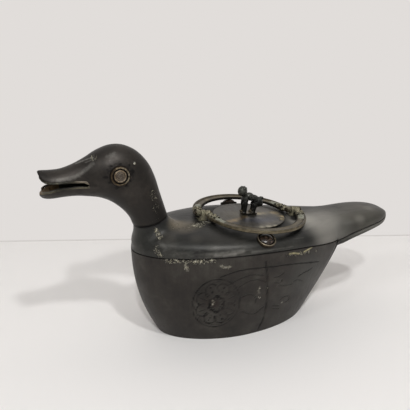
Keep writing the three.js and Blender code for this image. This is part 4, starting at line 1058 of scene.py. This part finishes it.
def plate_piece():
    start = STERN_CORNER + GAP / 2
    turns = 70

    def section(step):
        turn = math.pi / 2 * (step if step <= turns else 2 * turns - step) / turns
        side = -1 if step <= turns else 1
        on_hull = STERN_CORNER + STERN_DEPTH * math.sin(turn)
        rim_y = STERN_HALF * math.cos(turn)
        share = stern_rim(rim_y) / STERN_TOP
        low = []
        for wall in (WALL, 0):
            x, y, z = hull_point(on_hull, rim_y, share, wall)
            low.append((max(x, start), side * abs(y), stern_rim(rim_y) + GAP / 2))
        edge_x = start + (TAIL_TIP - start) * math.sin(turn) ** 1.2
        along = (edge_x - start) / (TAIL_TIP - start)
        depth = PLATE_TIP + (PLATE_CORNER - PLATE_TIP) * math.sqrt(max(1 - along ** 2, 0))
        edge_y = side * (back_half_width(edge_x) if turn < math.pi / 2 - 1e-6 else 0)
        corner = max(0, 1 - (edge_x - start) / 5)
        edge = (edge_x - 2.2 * corner, edge_y - side * 0.9 * corner, seam_height(edge_x) - depth)
        top_edge = (edge_x, edge_y, seam_height(edge_x) - GAP / 2)
        tops = [(x, y, z + PLATE_CORNER - GAP) for x, y, z in low]
        return low + [edge, top_edge] + tops[::-1]

    sections = [section(step) for step in range(2 * turns + 1)]

    def place(column, row):
        corner, part = divmod(column, 3)
        a = Vector(sections[row][corner % 6])
        b = Vector(sections[row][(corner + 1) % 6])
        return a.lerp(b, part / 3)

    piece = wrapped("tail_plate", 18, 2 * turns, place, capped=True)
    bevelled(piece, 0.15, segments=2, degrees=45)
    return smooth(piece, 45)


tail_plate = plate_piece()
drawn_in(tail_plate)
points = points_of(tail_plate)
# the plate's outer edge is painted lighter grey: painted light on its lit side
painted(tail_plate, points, [(x, -34 * (1 - ((x - 90) / 80) ** 2), 86 + 0.14 * (x - 97), 14, 0.7, "#8C8981")
                             for x in (104, 114, 124, 134, 144, 154)])
# a painted shadow line just under the seam
below_seam = np.array([seam_height(x) for x in points[:, 0]]) - points[:, 2]
marked(tail_plate, "grime_and_shade", falloff(below_seam, 0.3, 1.2) * 0.7)
dressed(tail_plate, "jug", "pewter", back_pewter, "tail_underplate")


# Neck, head and bill
HEAD_SECTIONS = between([shifted(NECK_SEAM, GAP / 2)] + NECK_AND_HEAD[1:], 6)


def head_half_width(x, rise):
    places = []
    for throat_x, throat_z, crown_x, crown_z, half in HEAD_SECTIONS:
        dx, dz = crown_x - throat_x, crown_z - throat_z
        length = math.hypot(dx, dz)
        upward = 2 * ((x - throat_x) * dx + (rise - throat_z) * dz) / length ** 2 - 1
        ahead = ((x - throat_x) * dz - (rise - throat_z) * dx) / length
        places.append((ahead, half * math.sqrt(max(1 - upward ** 2, 0))))
    for (a0, w0), (a1, w1) in zip(places, places[1:]):
        if a0 * a1 <= 0:
            return w0 + (w1 - w0) * a0 / (a0 - a1)
    return places[-1][1]


def eye_seat(side):
    normal = Vector((0, side * math.cos(EYE_TILT), math.sin(EYE_TILT)))
    surface = Vector((HEAD_EYE[0], side * head_half_width(*HEAD_EYE), HULL_HEIGHT + HEAD_EYE[1]))
    return seat_matrix(surface - normal * BEZEL_SINK, normal)


def prism(name, outline, half):
    """A side outline in x and height, drawn out across the bill."""
    loops = [[Vector((x, side * half, HULL_HEIGHT + rise)) for x, rise in outline] for side in (-1, 1)]
    return tube(name, loops)


def scoop(grown=0):
    """Bowl of the spoon-shaped lower bill."""
    return ball((-157.4, 0, HULL_HEIGHT + 61), (7.4 + grown, 9.6 + grown, 5.6 + grown), rings=24)


def head_piece():
    piece = tube("head_form", [oval(section) for section in HEAD_SECTIONS])
    hollow = [shifted(NECK_SEAM, -2)] + between(NECK_AND_HEAD[:HOLLOW_SECTIONS], 4)
    cut(piece, tube("hollow", [oval(section, CAST_WALL, 48) for section in hollow]))
    upper, lower = curved(GAPE_UPPER, 5), curved(GAPE_LOWER, 5)
    cut(piece, prism("gape", [*map(tuple, upper), *map(tuple, lower[::-1])], 40))
    cut(piece, scoop())
    piece = fused("neck_and_head_dressed", [piece], voxel=0.6, rounds=4)

    def at_tips(points):
        return falloff(points[:, 0], -161, -157)

    smoothed_near(piece, at_tips, rounds=8)
    for side in (-1, 1):
        cut(piece, rod((0, 0, -GAP), (0, 0, BEZEL_RADIUS), BEZEL_RADIUS + GAP), eye_seat(side))
    return smooth(piece, 50)


# Deep gouges round the eye, as [x, height] from its middle and their half sizes, in millimetres
GOUGES = [(-11.4, 0.2, 2.4, 1.5), (10.4, 2, 1.7, 3.6), (8, -5, 1.3, 1.2), (5, -8.6, 2.2, 1.2), (-6.5, 8.6, 1.9, 1),
          (1, 9.6, 1.6, 1), (8, 7.6, 1.4, 1.4), (-8.6, -4, 1.2, 1.6)]


def head_wear(piece):
    points = points_of(piece)
    ahead, over = points[:, 0] - HEAD_EYE[0], points[:, 2] - HULL_HEIGHT - HEAD_EYE[1]
    turn = np.arctan2(over, ahead)
    wobble = 0.8 * np.sin(1.3 * ahead + 0.9 * over) + 0.7 * np.sin(0.8 * ahead - 1.9 * over)
    around = np.hypot(ahead, over) + wobble
    uneven = 0.55 + 0.3 * np.sin(3 * turn + 0.6) + 0.3 * np.sin(7 * turn + 2)
    uneven -= 0.35 * falloff(np.abs(turn + 2.3), 0.1, 0.7)
    gouged = 0.7 * falloff(np.abs(around - 9.8), 0.3, 2.3) * np.clip(uneven, 0, 1)
    for x, z, width, height in GOUGES:
        distance = np.hypot((ahead - x + wobble / 2) / width, (over - z) / height)
        gouged = np.maximum(gouged, 0.9 * falloff(distance, 0.3, 1.3))
    gouged = np.maximum(gouged, 0.5 * falloff(np.hypot(ahead, over), 8.4, 9.6)) * (np.abs(points[:, 1]) > 8)
    marked(piece, "grime_and_shade", np.maximum(gouged, neck_crack(points, 0.7, 1.9)))
    marked(piece, "crust", spots(points, [(-73.2, -11.6, 137.9, 6, 0.75), (-72.6, -12.6, 132, 5, 0.75),
                                          (-72.2, -13.5, 125, 6, 0.72), (-72, -14, 118, 6, 0.6),
                                          (-120.1, -7.9, 172.1, 5, 0.85), (-122.5, -7, 171, 4, 0.7),
                                          (-88.6, -13.6, 166, 1.6, 1), (-90, -13, 130, 3, 0.6)]))
    # The broad streaks on the crown and along the bill's ridge and top are painted highlights and sheen; the two thin
    # ones are scratches.
    marked(piece, "rubbed_and_highlight", np.maximum(streaks(points, [
        ([(-109.5, -12.4, 173), (-106.5, -12.6, 174), (-104, -12, 175)], 3.6, 0.26),
        ([(-121.5, -11.6, 168), (-127, -11.5, 164), (-133, -11, 159.5)], 3, 0.3),
        ([(-133, -11, 159.5), (-140, -10.5, 157), (-150, -10, 156)], 3, 0.34),
        ([(-121, -8, 172), (-126, -5, 170.5), (-134, -2.5, 166.5)], 1.4, 0.55),
        ([(-120, -9.5, 170.8), (-127, -7, 168)], 1, 0.4)]), spots(points, [(-88.6, -13.6, 166, 1, 1)])))
    normals = vectors(piece, "normal")
    inside = (points[:, 0] < -122) & (points[:, 1] * normals[:, 1] <= 0) & (points[:, 2] < HULL_HEIGHT + 67.5)
    bowl = (points[:, 0] < -149) & (points[:, 2] < HULL_HEIGHT + 60.5) & (normals[:, 2] > 0.1)
    # the two pale grey patches on the crown and on the bill are painted sheen
    painted(piece, points, [(-124, -14, 152, 4, 0.8, "#1A1410"), (-121.5, -15.5, 151, 3, 0.8, "#15100D"),
                            (-104, -15, 172, 16, 0.3, "#4E4944"), (-140, -9, 160, 14, 0.25, "#4A4440")],
            linings=[(inside, "#31362A"), (bowl, "#6F5B3E")])


head = head_piece()
head_wear(head)
dressed(head, "jug", "cast_pewter", head_pewter, "neck_and_head")


def bead_along(path, radius):
    """Round bead along a path, in millimetres."""
    loops = []
    for i, place in enumerate(path):
        run = (path[min(i + 1, len(path) - 1)] - path[max(i - 1, 0)]).normalized()
        out = run.cross(Vector((0, 0, 1))).normalized()
        over = out.cross(run)
        loops.append([place + (out * math.cos(math.pi * k / 5) + over * math.sin(math.pi * k / 5)) * radius
                      for k in range(10)])
    return tube("bead", loops)


def lip_piece(name, line, shift, tip):
    """Brass lip: a strip along the cut with a rolled bead outside."""
    fine = [point for point in curved(line[1:], 6) if point[0] > tip]
    beads = [bead_along([Vector((x, side * (head_half_width(x, rise) - 0.1), HULL_HEIGHT + rise + shift))
                         for x, rise in fine], 0.5) for side in (-1, 1)]
    strip = softened(name + "_strip", name, 0.2)
    if name == "lower_lip":
        cut(strip, scoop(0.1))
    piece = fused(name + "_worn", [strip] + beads, voxel=0.3)
    points = points_of(piece)
    outer = np.array([abs(abs(y) - head_half_width(x, z - HULL_HEIGHT)) < 0.9 for x, y, z in points])
    rear = falloff(-points[:, 0], 131, 142 if name == "upper_lip" else 148)
    front_rim = 0.45 * falloff(points[:, 0], -156, -150) * (name == "lower_lip")
    marked(piece, "rubbed_and_highlight", outer * np.maximum(rear * 0.5, front_rim))
    painted(piece, points, [(-158, 0, HULL_HEIGHT + 57, 12, 0.85, "#6F5B3E")] if name == "lower_lip" else
            [(-130, -13, HULL_HEIGHT + 66, 9, 0.5, "#80736A")])
    return piece


for name, line, shift, tip in (("upper_lip", GAPE_UPPER, -0.3, -163.2), ("lower_lip", GAPE_LOWER, 0.3, -162.6)):
    dressed(lip_piece(name, line, shift, tip), "jug", "brass", lip_brass, name)

# Eyes: a rough bezel, a black ring and a bead carved in rings
for side, name in ((-1, "left"), (1, "right")):
    seat = eye_seat(side)
    bezel = turned("eye_bezel_worn_" + name, [(BEZEL_RADIUS, 0), (BEZEL_RADIUS, 1.2), (7.9, 2), (7.4, 2.8),
                                              (7.0, 3.1), (6.6, 3.0), (6.3, 2.6), (6.25, 0.8)], 72, bevel=0.15)
    points = points_of(bezel)
    turn = np.arctan2(points[:, 1], points[:, 0])
    lip = falloff(np.abs(from_axis(points) - 6.9), 0.5, 1) * (points[:, 2] > 1.6)
    rear = falloff(np.abs(turn - (0.35 if side < 0 else math.pi - 0.35)), 0.5, 2.2)
    rough = 0.62 + 0.25 * np.sin(turn * 7 + np.sin(turn * 4)) + 0.2 * np.sin(turn * 17)
    marked(bezel, "rubbed_and_highlight", lip * (0.15 + 0.75 * rear) * rough)
    marked(bezel, "grime_and_shade", falloff(points[:, 2], 1.6, 2.7) * 0.85)
    dressed(placed(bezel, seat), "jug", "brass", bezel_brass, "eye_bezel_" + name)
    ring = turned("eye_ring_worn_" + name, [(5.15, 1.1), (6.15, 1.1), (6.15, 1.9), (5.65, 2.1), (5.15, 1.9),
                                               (5.15, 1.1)], 64, closed=True, bevel=0.15)
    dressed(placed(ring, seat), "jug", "black_ring", black_ring, "eye_ring_" + name)
    bead = turned("eye_bead_" + name, [(5.05, 1.1), (5.05, 2.5), (4.85, 2.9), (4.3, 3.05), (3.95, 2.75), (3.6, 2.5),
                                       (3.25, 2.8), (2.6, 2.85), (2.2, 2.6), (1.8, 2.85), (1.2, 2.9), (0.8, 2.65),
                                       (0.25, 2.8)], 56, bevel=0.08)
    points = points_of(bead)
    radius = from_axis(points)
    grooves = np.max([falloff(np.abs(radius - r), 0.15, 0.5) for r in (3.6, 2.2, 0.8)], axis=0)
    dark = np.maximum(grooves * 0.85, falloff(radius, 2.9, 3.6) * 0.62)
    # one side of the bead is darkened as painted shade
    shaded = 0.4 * falloff(np.abs(np.arctan2(points[:, 1], points[:, 0]) + 0.4), 0.3, 0.9)
    marked(bead, "grime_and_shade", np.maximum(dark, shaded))
    dressed(placed(bead, seat), "jug", "amber_stone", eye_amber, "eye_stone_" + name)

# Shoulder studs
for side, name in ((-1, "left"), (1, "right")):
    seat = stud_seat(side)
    bezel = turned("stud_bezel_worn_" + name, [(STUD_RADIUS, 0), (STUD_RADIUS, 2.4), (8.1, 3.2), (7.8, 3.4),
                                               (7.4, 3.2), (6.9, 1)], 72, bevel=0.15)
    points = points_of(bezel)
    lip = falloff(np.abs(from_axis(points) - 7.8), 0.3, 0.7) * (points[:, 2] > 2.7)
    marked(bezel, "rubbed_and_highlight", lip * (0.7 if side < 0 else 0.1))
    marked(bezel, "grime_and_shade", falloff(points[:, 2], 1.4, 3) * 0.8 if side < 0 else np.full(len(points), 0.85))
    dressed(placed(bezel, seat), "jug", "brass", bezel_brass, "stud_bezel_" + name)
    radius = 6.3 if side < 0 else 6.7
    rise = 2.5 if side < 0 else 4.4
    dome = [(radius * math.cos(t), 2.2 + rise * math.sin(t)) for t in np.linspace(0, 1.45, 9)]
    bead = turned("stud_bead_" + name, [(radius, 1.3)] + dome, 56, bevel=0)
    points = points_of(bead)
    marked(bead, "grime_and_shade", falloff(points[:, 2], 2, 3.6) * 0.85)
    dressed(placed(bead, seat), "jug", "brown_stone", stud_agate, "stud_stone_" + name)

# Mouth, lid and knob
OUTER = MOUTH_RADIUS + COLLAR_WALL
collar = turned("mouth_collar_worn", [(MOUTH_RADIUS, -7), (OUTER, -7), (OUTER, 0), (MOUTH_RADIUS, 0),
                                      (MOUTH_RADIUS, -7)], 96, closed=True, bevel=0.3)
dressed(placed(collar, DECK), "jug", "pewter", back_pewter, "mouth_collar")
crown = [(1.8 + (LID_RADIUS - 1.8) * share, 1.4 + 1.1 * (1 - share ** 2)) for share in np.linspace(0.97, 0, 12)]
lid = turned("lid_worn", [(1.8, 0.3), (LID_RADIUS, 0.3), (LID_RADIUS, 1.4)] + crown + [(1.8, 0.3)], 112,
             closed=True, bevel=0.35)
points = points_of(lid)
# The bluish patches on the near slope are a painted sheen, and the tan and grey chain from the front left to the
# middle is a painted highlight along the ridge; the other patches are oxide, deposits and wear.
painted(lid, points, [(-4, 18, 2, 22, 0.6, "#3D3A37"), (16, 16, 2, 20, 0.5, "#4A4640"),
                      (-16, 0, 2, 18, 0.6, "#4A4537"), (-24, 8, 2, 14, 0.5, "#45423A"),
                      (-8, -15, 2, 9, 0.6, "#3A3F4C"), (2, -17, 2, 10, 0.7, "#4A4D58"),
                      (11, -17, 2, 9, 0.65, "#444753"), (19, -14, 2, 8, 0.5, "#40424B"),
                      (-25, -15.4, 2, 5, 0.7, "#8D7A5C"), (-19, -14, 2, 5, 0.8, "#94805F"),
                      (-13, -11, 2, 5, 0.7, "#7A6A50"), (-7, -7.6, 2, 5, 0.8, "#6F5E42"),
                      (-2, -12, 2, 4, 0.5, "#7C7B78"), (5, -11.5, 2, 4, 0.5, "#7C7B78"),
                      (3, 0, 2, 5, 0.85, "#A09476"), (9, -1, 2, 5, 0.8, "#A89C7E"),
                      (15, 0, 2, 5, 0.6, "#8E836A"), (26, 1, 2, 7, 0.8, "#9A8B6C"),
                      (29, -8, 2, 5, 0.8, "#8F8062"), (0, -32, 2, 4, 0.8, "#A8A28F"),
                      (7, -31.5, 2, 4.5, 0.9, "#B0AA98"), (14, -30.5, 2, 4, 0.8, "#A8A28F"),
                      (31.5, -9, 1.4, 2.6, 1, "#D9C394"), (30, -15, 1.6, 4, 0.8, "#9C8F74")])
marked(lid, "crust", spots(points, [(28, -16, 2, 7, 0.9), (31, -6, 2, 6, 0.8), (27, 3, 2, 7, 0.7),
                                    (7, -32, 1.5, 5, 0.6), (12, 1, 2, 5, 0.5), (22, -23, 2, 6, 0.55)]))
marked(lid, "grime_and_shade", falloff(points[:, 2], 0.5, 1.3) * 0.7 * (from_axis(points) > 31))
placed(lid, DECK)
dressed(lid, "lid", "pewter", lid_pewter, "lid")
flange = turned("lid_flange_worn", [(26.6, -5.5), (28, -5.5), (28, 0), (26.6, 0), (26.6, -5.5)], 96, closed=True,
                bevel=0.25)
dressed(placed(flange, DECK), "lid", "pewter", back_pewter, "lid_flange")


def knob_piece():
    """A small lion-dog that stands on its plinth and faces the duck's head, with curls round its face."""
    base = 2.8
    parts = [block((-0.5, 0, base + 0.6), (14, 8, 1.2))]
    # back, shoulders, chest, haunches, head, muzzle, two of the tail, loins
    balls = [((1.6, 0, 15.2), (6.2, 3.6, 2.9)), ((-1.5, 0, 17), (4.5, 3.5, 3.2)), ((-5.2, 0, 13.8), (3.3, 4, 5.8)),
             ((8, 0, 10.9), (4.4, 4.25, 4.85)), ((-8.3, 0, 21.7), (4.5, 4.2, 4.75)),
             ((-10.7, -0.6, 20.2), (1.9, 2, 1.9)), ((10.4, 0, 14.6), (2, 1.6, 1.6)),
             ((12, 0, 14.4), (1.1, 1.3, 1.5)), ((5, 0, 13.2), (3.6, 3.6, 3.4))]
    for side in (-1, 1):
        # ear, brow, thigh, foreleg, its paw, hind paw and hip
        balls += [((-8, side * 3.1, 24.8), (1.1, 0.9, 1)), ((-11.2, side * 1.7, 23.1), (0.9, 0.8, 0.7)),
                  ((4.4, side * 2.6, 8.6), (2.6, 1.8, 3)), ((-5.4, side * 2.8, 10.4), (2.4, 2, 4)),
                  ((-6.2, side * 2.8, 1.9), (2.3, 1.8, 1.1)), ((2.8, side * 2.6, 1.9), (2.4, 1.8, 1.1)),
                  ((9.6, side * 3, 10), (2.2, 1.4, 2.6))]
        for i in range(6):
            turn = math.pi * (0.08 + 0.8 * i / 5)
            balls.append(((-6.3 + 0.5 * math.cos(3 * turn), side * (1.4 + 2.0 * math.sin(turn)),
                           21.3 + 3.7 * math.cos(turn)), (1.1, 1, 1.1)))
        parts.append(rod((-5.2, side * 2.6, 13), (-5.4, side * 2.7, base + 1.4), 1.95, 1.6))
        parts.append(rod((5.2, side * 2.5, 14.2), (3, side * 2.6, base + 1.4), 2.1, 1.55))
    for centre, radii in balls:
        parts.append(ball((centre[0], centre[1], centre[2] + base), radii, rings=10))
    piece = fused("lid_knob_lion", parts, voxel=0.32, rounds=2)
    cut(piece, rod((0, 0, 2.7), (0, 0, base + 1.1), 1.8))
    points = points_of(piece)
    marked(piece, "grime_and_shade", hollows(piece, 0.25) + 0.9 * falloff(points[:, 2], base, base + 0.8))
    marked(piece, "rubbed_and_highlight", 0.5 * (1 - hollows(piece, 0.2)) * falloff(-points[:, 2], -23, -12))
    painted(piece, points, [(x, 0, 3, 5.5, 0.9, "#5E5440") for x in (-8, -3, 2, 7)])
    return piece


knob = knob_piece()
placed(knob, DECK)
dressed(knob, "lid", "dark_bronze", knob_bronze, "lid_knob")


# Handle: two half rings with a dragon's head and a hinge barrel at each end

def band_piece(side_name):
    """Half a ring of cast band with a raised rim along its outer edge."""
    # [depth from the outer edge, height over the deck]
    profile = [(0.1, 2.4), (0.0, 3.1), (0.0, 3.9), (0.0, 4.9), (0.3, 5.25), (0.9, 5.3), (1.5, 5.2), (1.9, 4.8),
               (2.4, 4.55), (3.6, 4.45), (5.2, 4.45), (6.8, 4.5), (8.0, 4.6), (8.5, 4.2), (8.5, 2.4), (8.35, 2.2),
               (6.0, 2.2), (3.0, 2.2), (0.5, 2.2)]
    steps = 180
    first = math.asin(6.0 / HANDLE_SPAN)

    def place(column, row):
        turn = math.pi + first + (math.pi - 2 * first) * row / steps
        depth, z = profile[column % len(profile)]
        reach, span = HANDLE_REACH - depth, HANDLE_SPAN - depth
        return (reach * math.cos(turn) + EYE_OFFSET, span * math.sin(turn), z)

    return wrapped("band_" + side_name, len(profile), steps, place, capped=True)


def ring_middle(y, side):
    """Middle of the band at that distance from the hinge line."""
    half = BAND_WIDTH / 2
    return EYE_OFFSET + side * (HANDLE_REACH - half) * math.sqrt(1 - (y / (HANDLE_SPAN - half)) ** 2)


def dragon_head(chin, side):
    """A dragon's head that bites the hinge barrel, with brows, curled mane and a long collar over the band."""
    parts = []

    def lump(across, y, z, radii):
        parts.append(ball((ring_middle(y, side) + across, y, z), radii, rings=8))

    for y in np.arange(-24, -11, 1.5):
        share = (24 + y) / 12
        lump(0, y, 3.5 + 0.2 * share, (4.0 + 0.2 * share, 1.8, 1.75 + 0.4 * share))
    deep = (5.6 + chin) / 2
    lump(0, -9.5, deep, (4.0, 4.2, 5.6 - deep))
    lump(0, -5.2, 4.0, (3.2, 3.6, 2.1))
    for way in (-1, 1):
        # nostril, brow, cheek, ear and two curls of the mane
        lump(way * 1.5, -3.4, 5.3, (0.95, 1, 0.9))
        lump(way * 2.4, -8.2, 5.7, (1.35, 1.9, 0.95))
        lump(way * 3.3, -6.6, 3.4, (0.9, 2, 1.1))
        lump(way * 3.4, -11.4, 4.6, (1.2, 1.5, 1.5))
        lump(way * 2.4, -13.8, 5.2, (1.5, 1.6, 1.1))
        lump(way * 2.2, -17, 5.0, (1.0, 2.0, 0.8))
    lump(0, -12.6, 5.9, (1.0, 2.2, 0.8))
    parts.append(rod((ring_middle(-6, side), -6, PIVOT - 1), (side * EAR_X + EYE_OFFSET * 0.6, -1.4, PIVOT), 2.2))
    hinge_x = side * EAR_X + EYE_OFFSET
    parts.append(rod((hinge_x - 1.98, 0, PIVOT), (hinge_x + 1.98, 0, PIVOT), 2.5))
    piece = fused("dragon", parts, voxel=0.32, rounds=1)
    eye, ear = (2.4, -6.2, 5.9, (1.2, 1.5, 1.9)), (2.5, -11.5, 6.2, (1.2, 1.5, 1.8))
    curl = (2.7, -15.8, 6.1, (0.9, 1.4, 1.4))
    for way in (-1, 1):
        for across, y, z, radii in (eye, ear, curl):
            cut(piece, ball((ring_middle(y, side) + way * across, y, z), radii, rings=8))
    cut(piece, rod((hinge_x - 3.4, 0, PIVOT), (hinge_x + 3.4, 0, PIVOT), 1.35))
    return piece


def half_ring(side_name, turn):
    """Half of the handle as it lies on the back: the band and a head at each of its ends."""
    heads = []
    for side in (-1, 1):
        chin = back_below_deck(turn * ring_middle(-10, side), turn * 10) + GAP
        heads.append(dragon_head(chin, side))
    carved = joined("heads", heads)
    hollow = hollows(carved, 0.22)
    points = points_of(carved)
    # dark spots at the eyes, ears and curls are painted shadow seen through the openwork, and the heads darken
    # towards their undersides as painted shade
    painted_shadow_holes = np.zeros(len(points))
    for side in (-1, 1):
        for y in (-6.2, -11.5, -15.6):
            for way in (-1, 1):
                distance = np.linalg.norm(points - (ring_middle(y, side) + way * 2.4, y, 5.2), axis=1)
                painted_shadow_holes = np.maximum(painted_shadow_holes, falloff(distance, 1.1, 2.2))
    marked(carved, "grime_and_shade", np.maximum(np.maximum(hollow, painted_shadow_holes), falloff(points[:, 2], 0.5, 3.0) * 0.8))
    marked(carved, "crust", 0.75 * falloff(np.abs(points[:, 1]), 21, 27))
    painted(carved, points, [(ring_middle(y, side), y, 5, 9, 0.85, code) for side in (-1, 1)
                             for y, code in ((-4, "#AAA38A"), (-12, "#A39C84"), (-20, "#A8AA9C"))])
    band = band_piece(side_name)
    points = points_of(band)
    # depth of each point from the ring's outer edge, closed in on from a first guess
    depth = np.full(len(points), 4.0)
    for _ in range(5):
        depth -= 48 * (np.hypot((points[:, 0] - EYE_OFFSET) / (HANDLE_REACH - depth),
                                points[:, 1] / (HANDLE_SPAN - depth)) - 1)
    # the band's underside and inner face are darkened as painted shade
    under = falloff(points[:, 2], 2.2, 2.6) * 0.9
    inner = falloff(-depth, -8.4, -7.2) * 0.9
    groove = 0.5 * falloff(np.abs(depth - 2.5), 0.2, 0.7) * (points[:, 2] > 4.2)
    marked(band, "grime_and_shade", np.maximum(np.maximum(under, inner), groove))
    marked(band, "crust", falloff(np.abs(points[:, 1]), 20, 30) * 0.5)
    outside = falloff(depth, 0.2, 0.6)
    marked(band, "rubbed_and_highlight", 0.5 * outside * falloff(np.abs(points[:, 2] - 3.1), 0.3, 0.9)
           + 0.25 * outside * (points[:, 2] > 3.6) + 0.3 * falloff(np.abs(depth - 5), 1.5, 4) * (points[:, 2] > 4.2))
    piece = joined("half_ring_" + side_name, [band, carved])
    smooth(piece, 45)
    if turn < 0:
        placed(piece, Matrix.Rotation(math.pi, 4, "Z"))
    return placed(piece, DECK)


for side_name, turn in (("left", 1), ("right", -1)):
    dressed(half_ring(side_name, turn), "handle_" + side_name, "handle_brass", handle_brass, "handle_" + side_name)

for name in ("front", "rear"):
    lug = softened(name + "_lug_worn", name + "_lug", 0.4)
    points = points_of(lug)
    marked(lug, "crust", np.full(len(points), 0.75))
    painted(lug, points, [(*points.mean(axis=0), 12, 0.8, "#A09A82")])
    marked(lug, "grime_and_shade", falloff(points[:, 2], points[:, 2].min() + 0.5, points[:, 2].min() + 3) * 0.7)
    dressed(lug, "jug", "handle_brass", handle_brass, name + "_lug")
    pin = softened(name + "_pin_worn", name + "_pin", 0.25)
    marked(pin, "grime_and_shade", np.full(len(pin.data.vertices), 0.4))
    dressed(pin, "jug", "brass", bezel_brass, name + "_pin")

for name, material in (("base_plate", hull_pewter), ("knob_rivet", bezel_brass)):
    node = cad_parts[name]
    node.data.materials.clear()
    node.data.materials.append(material)
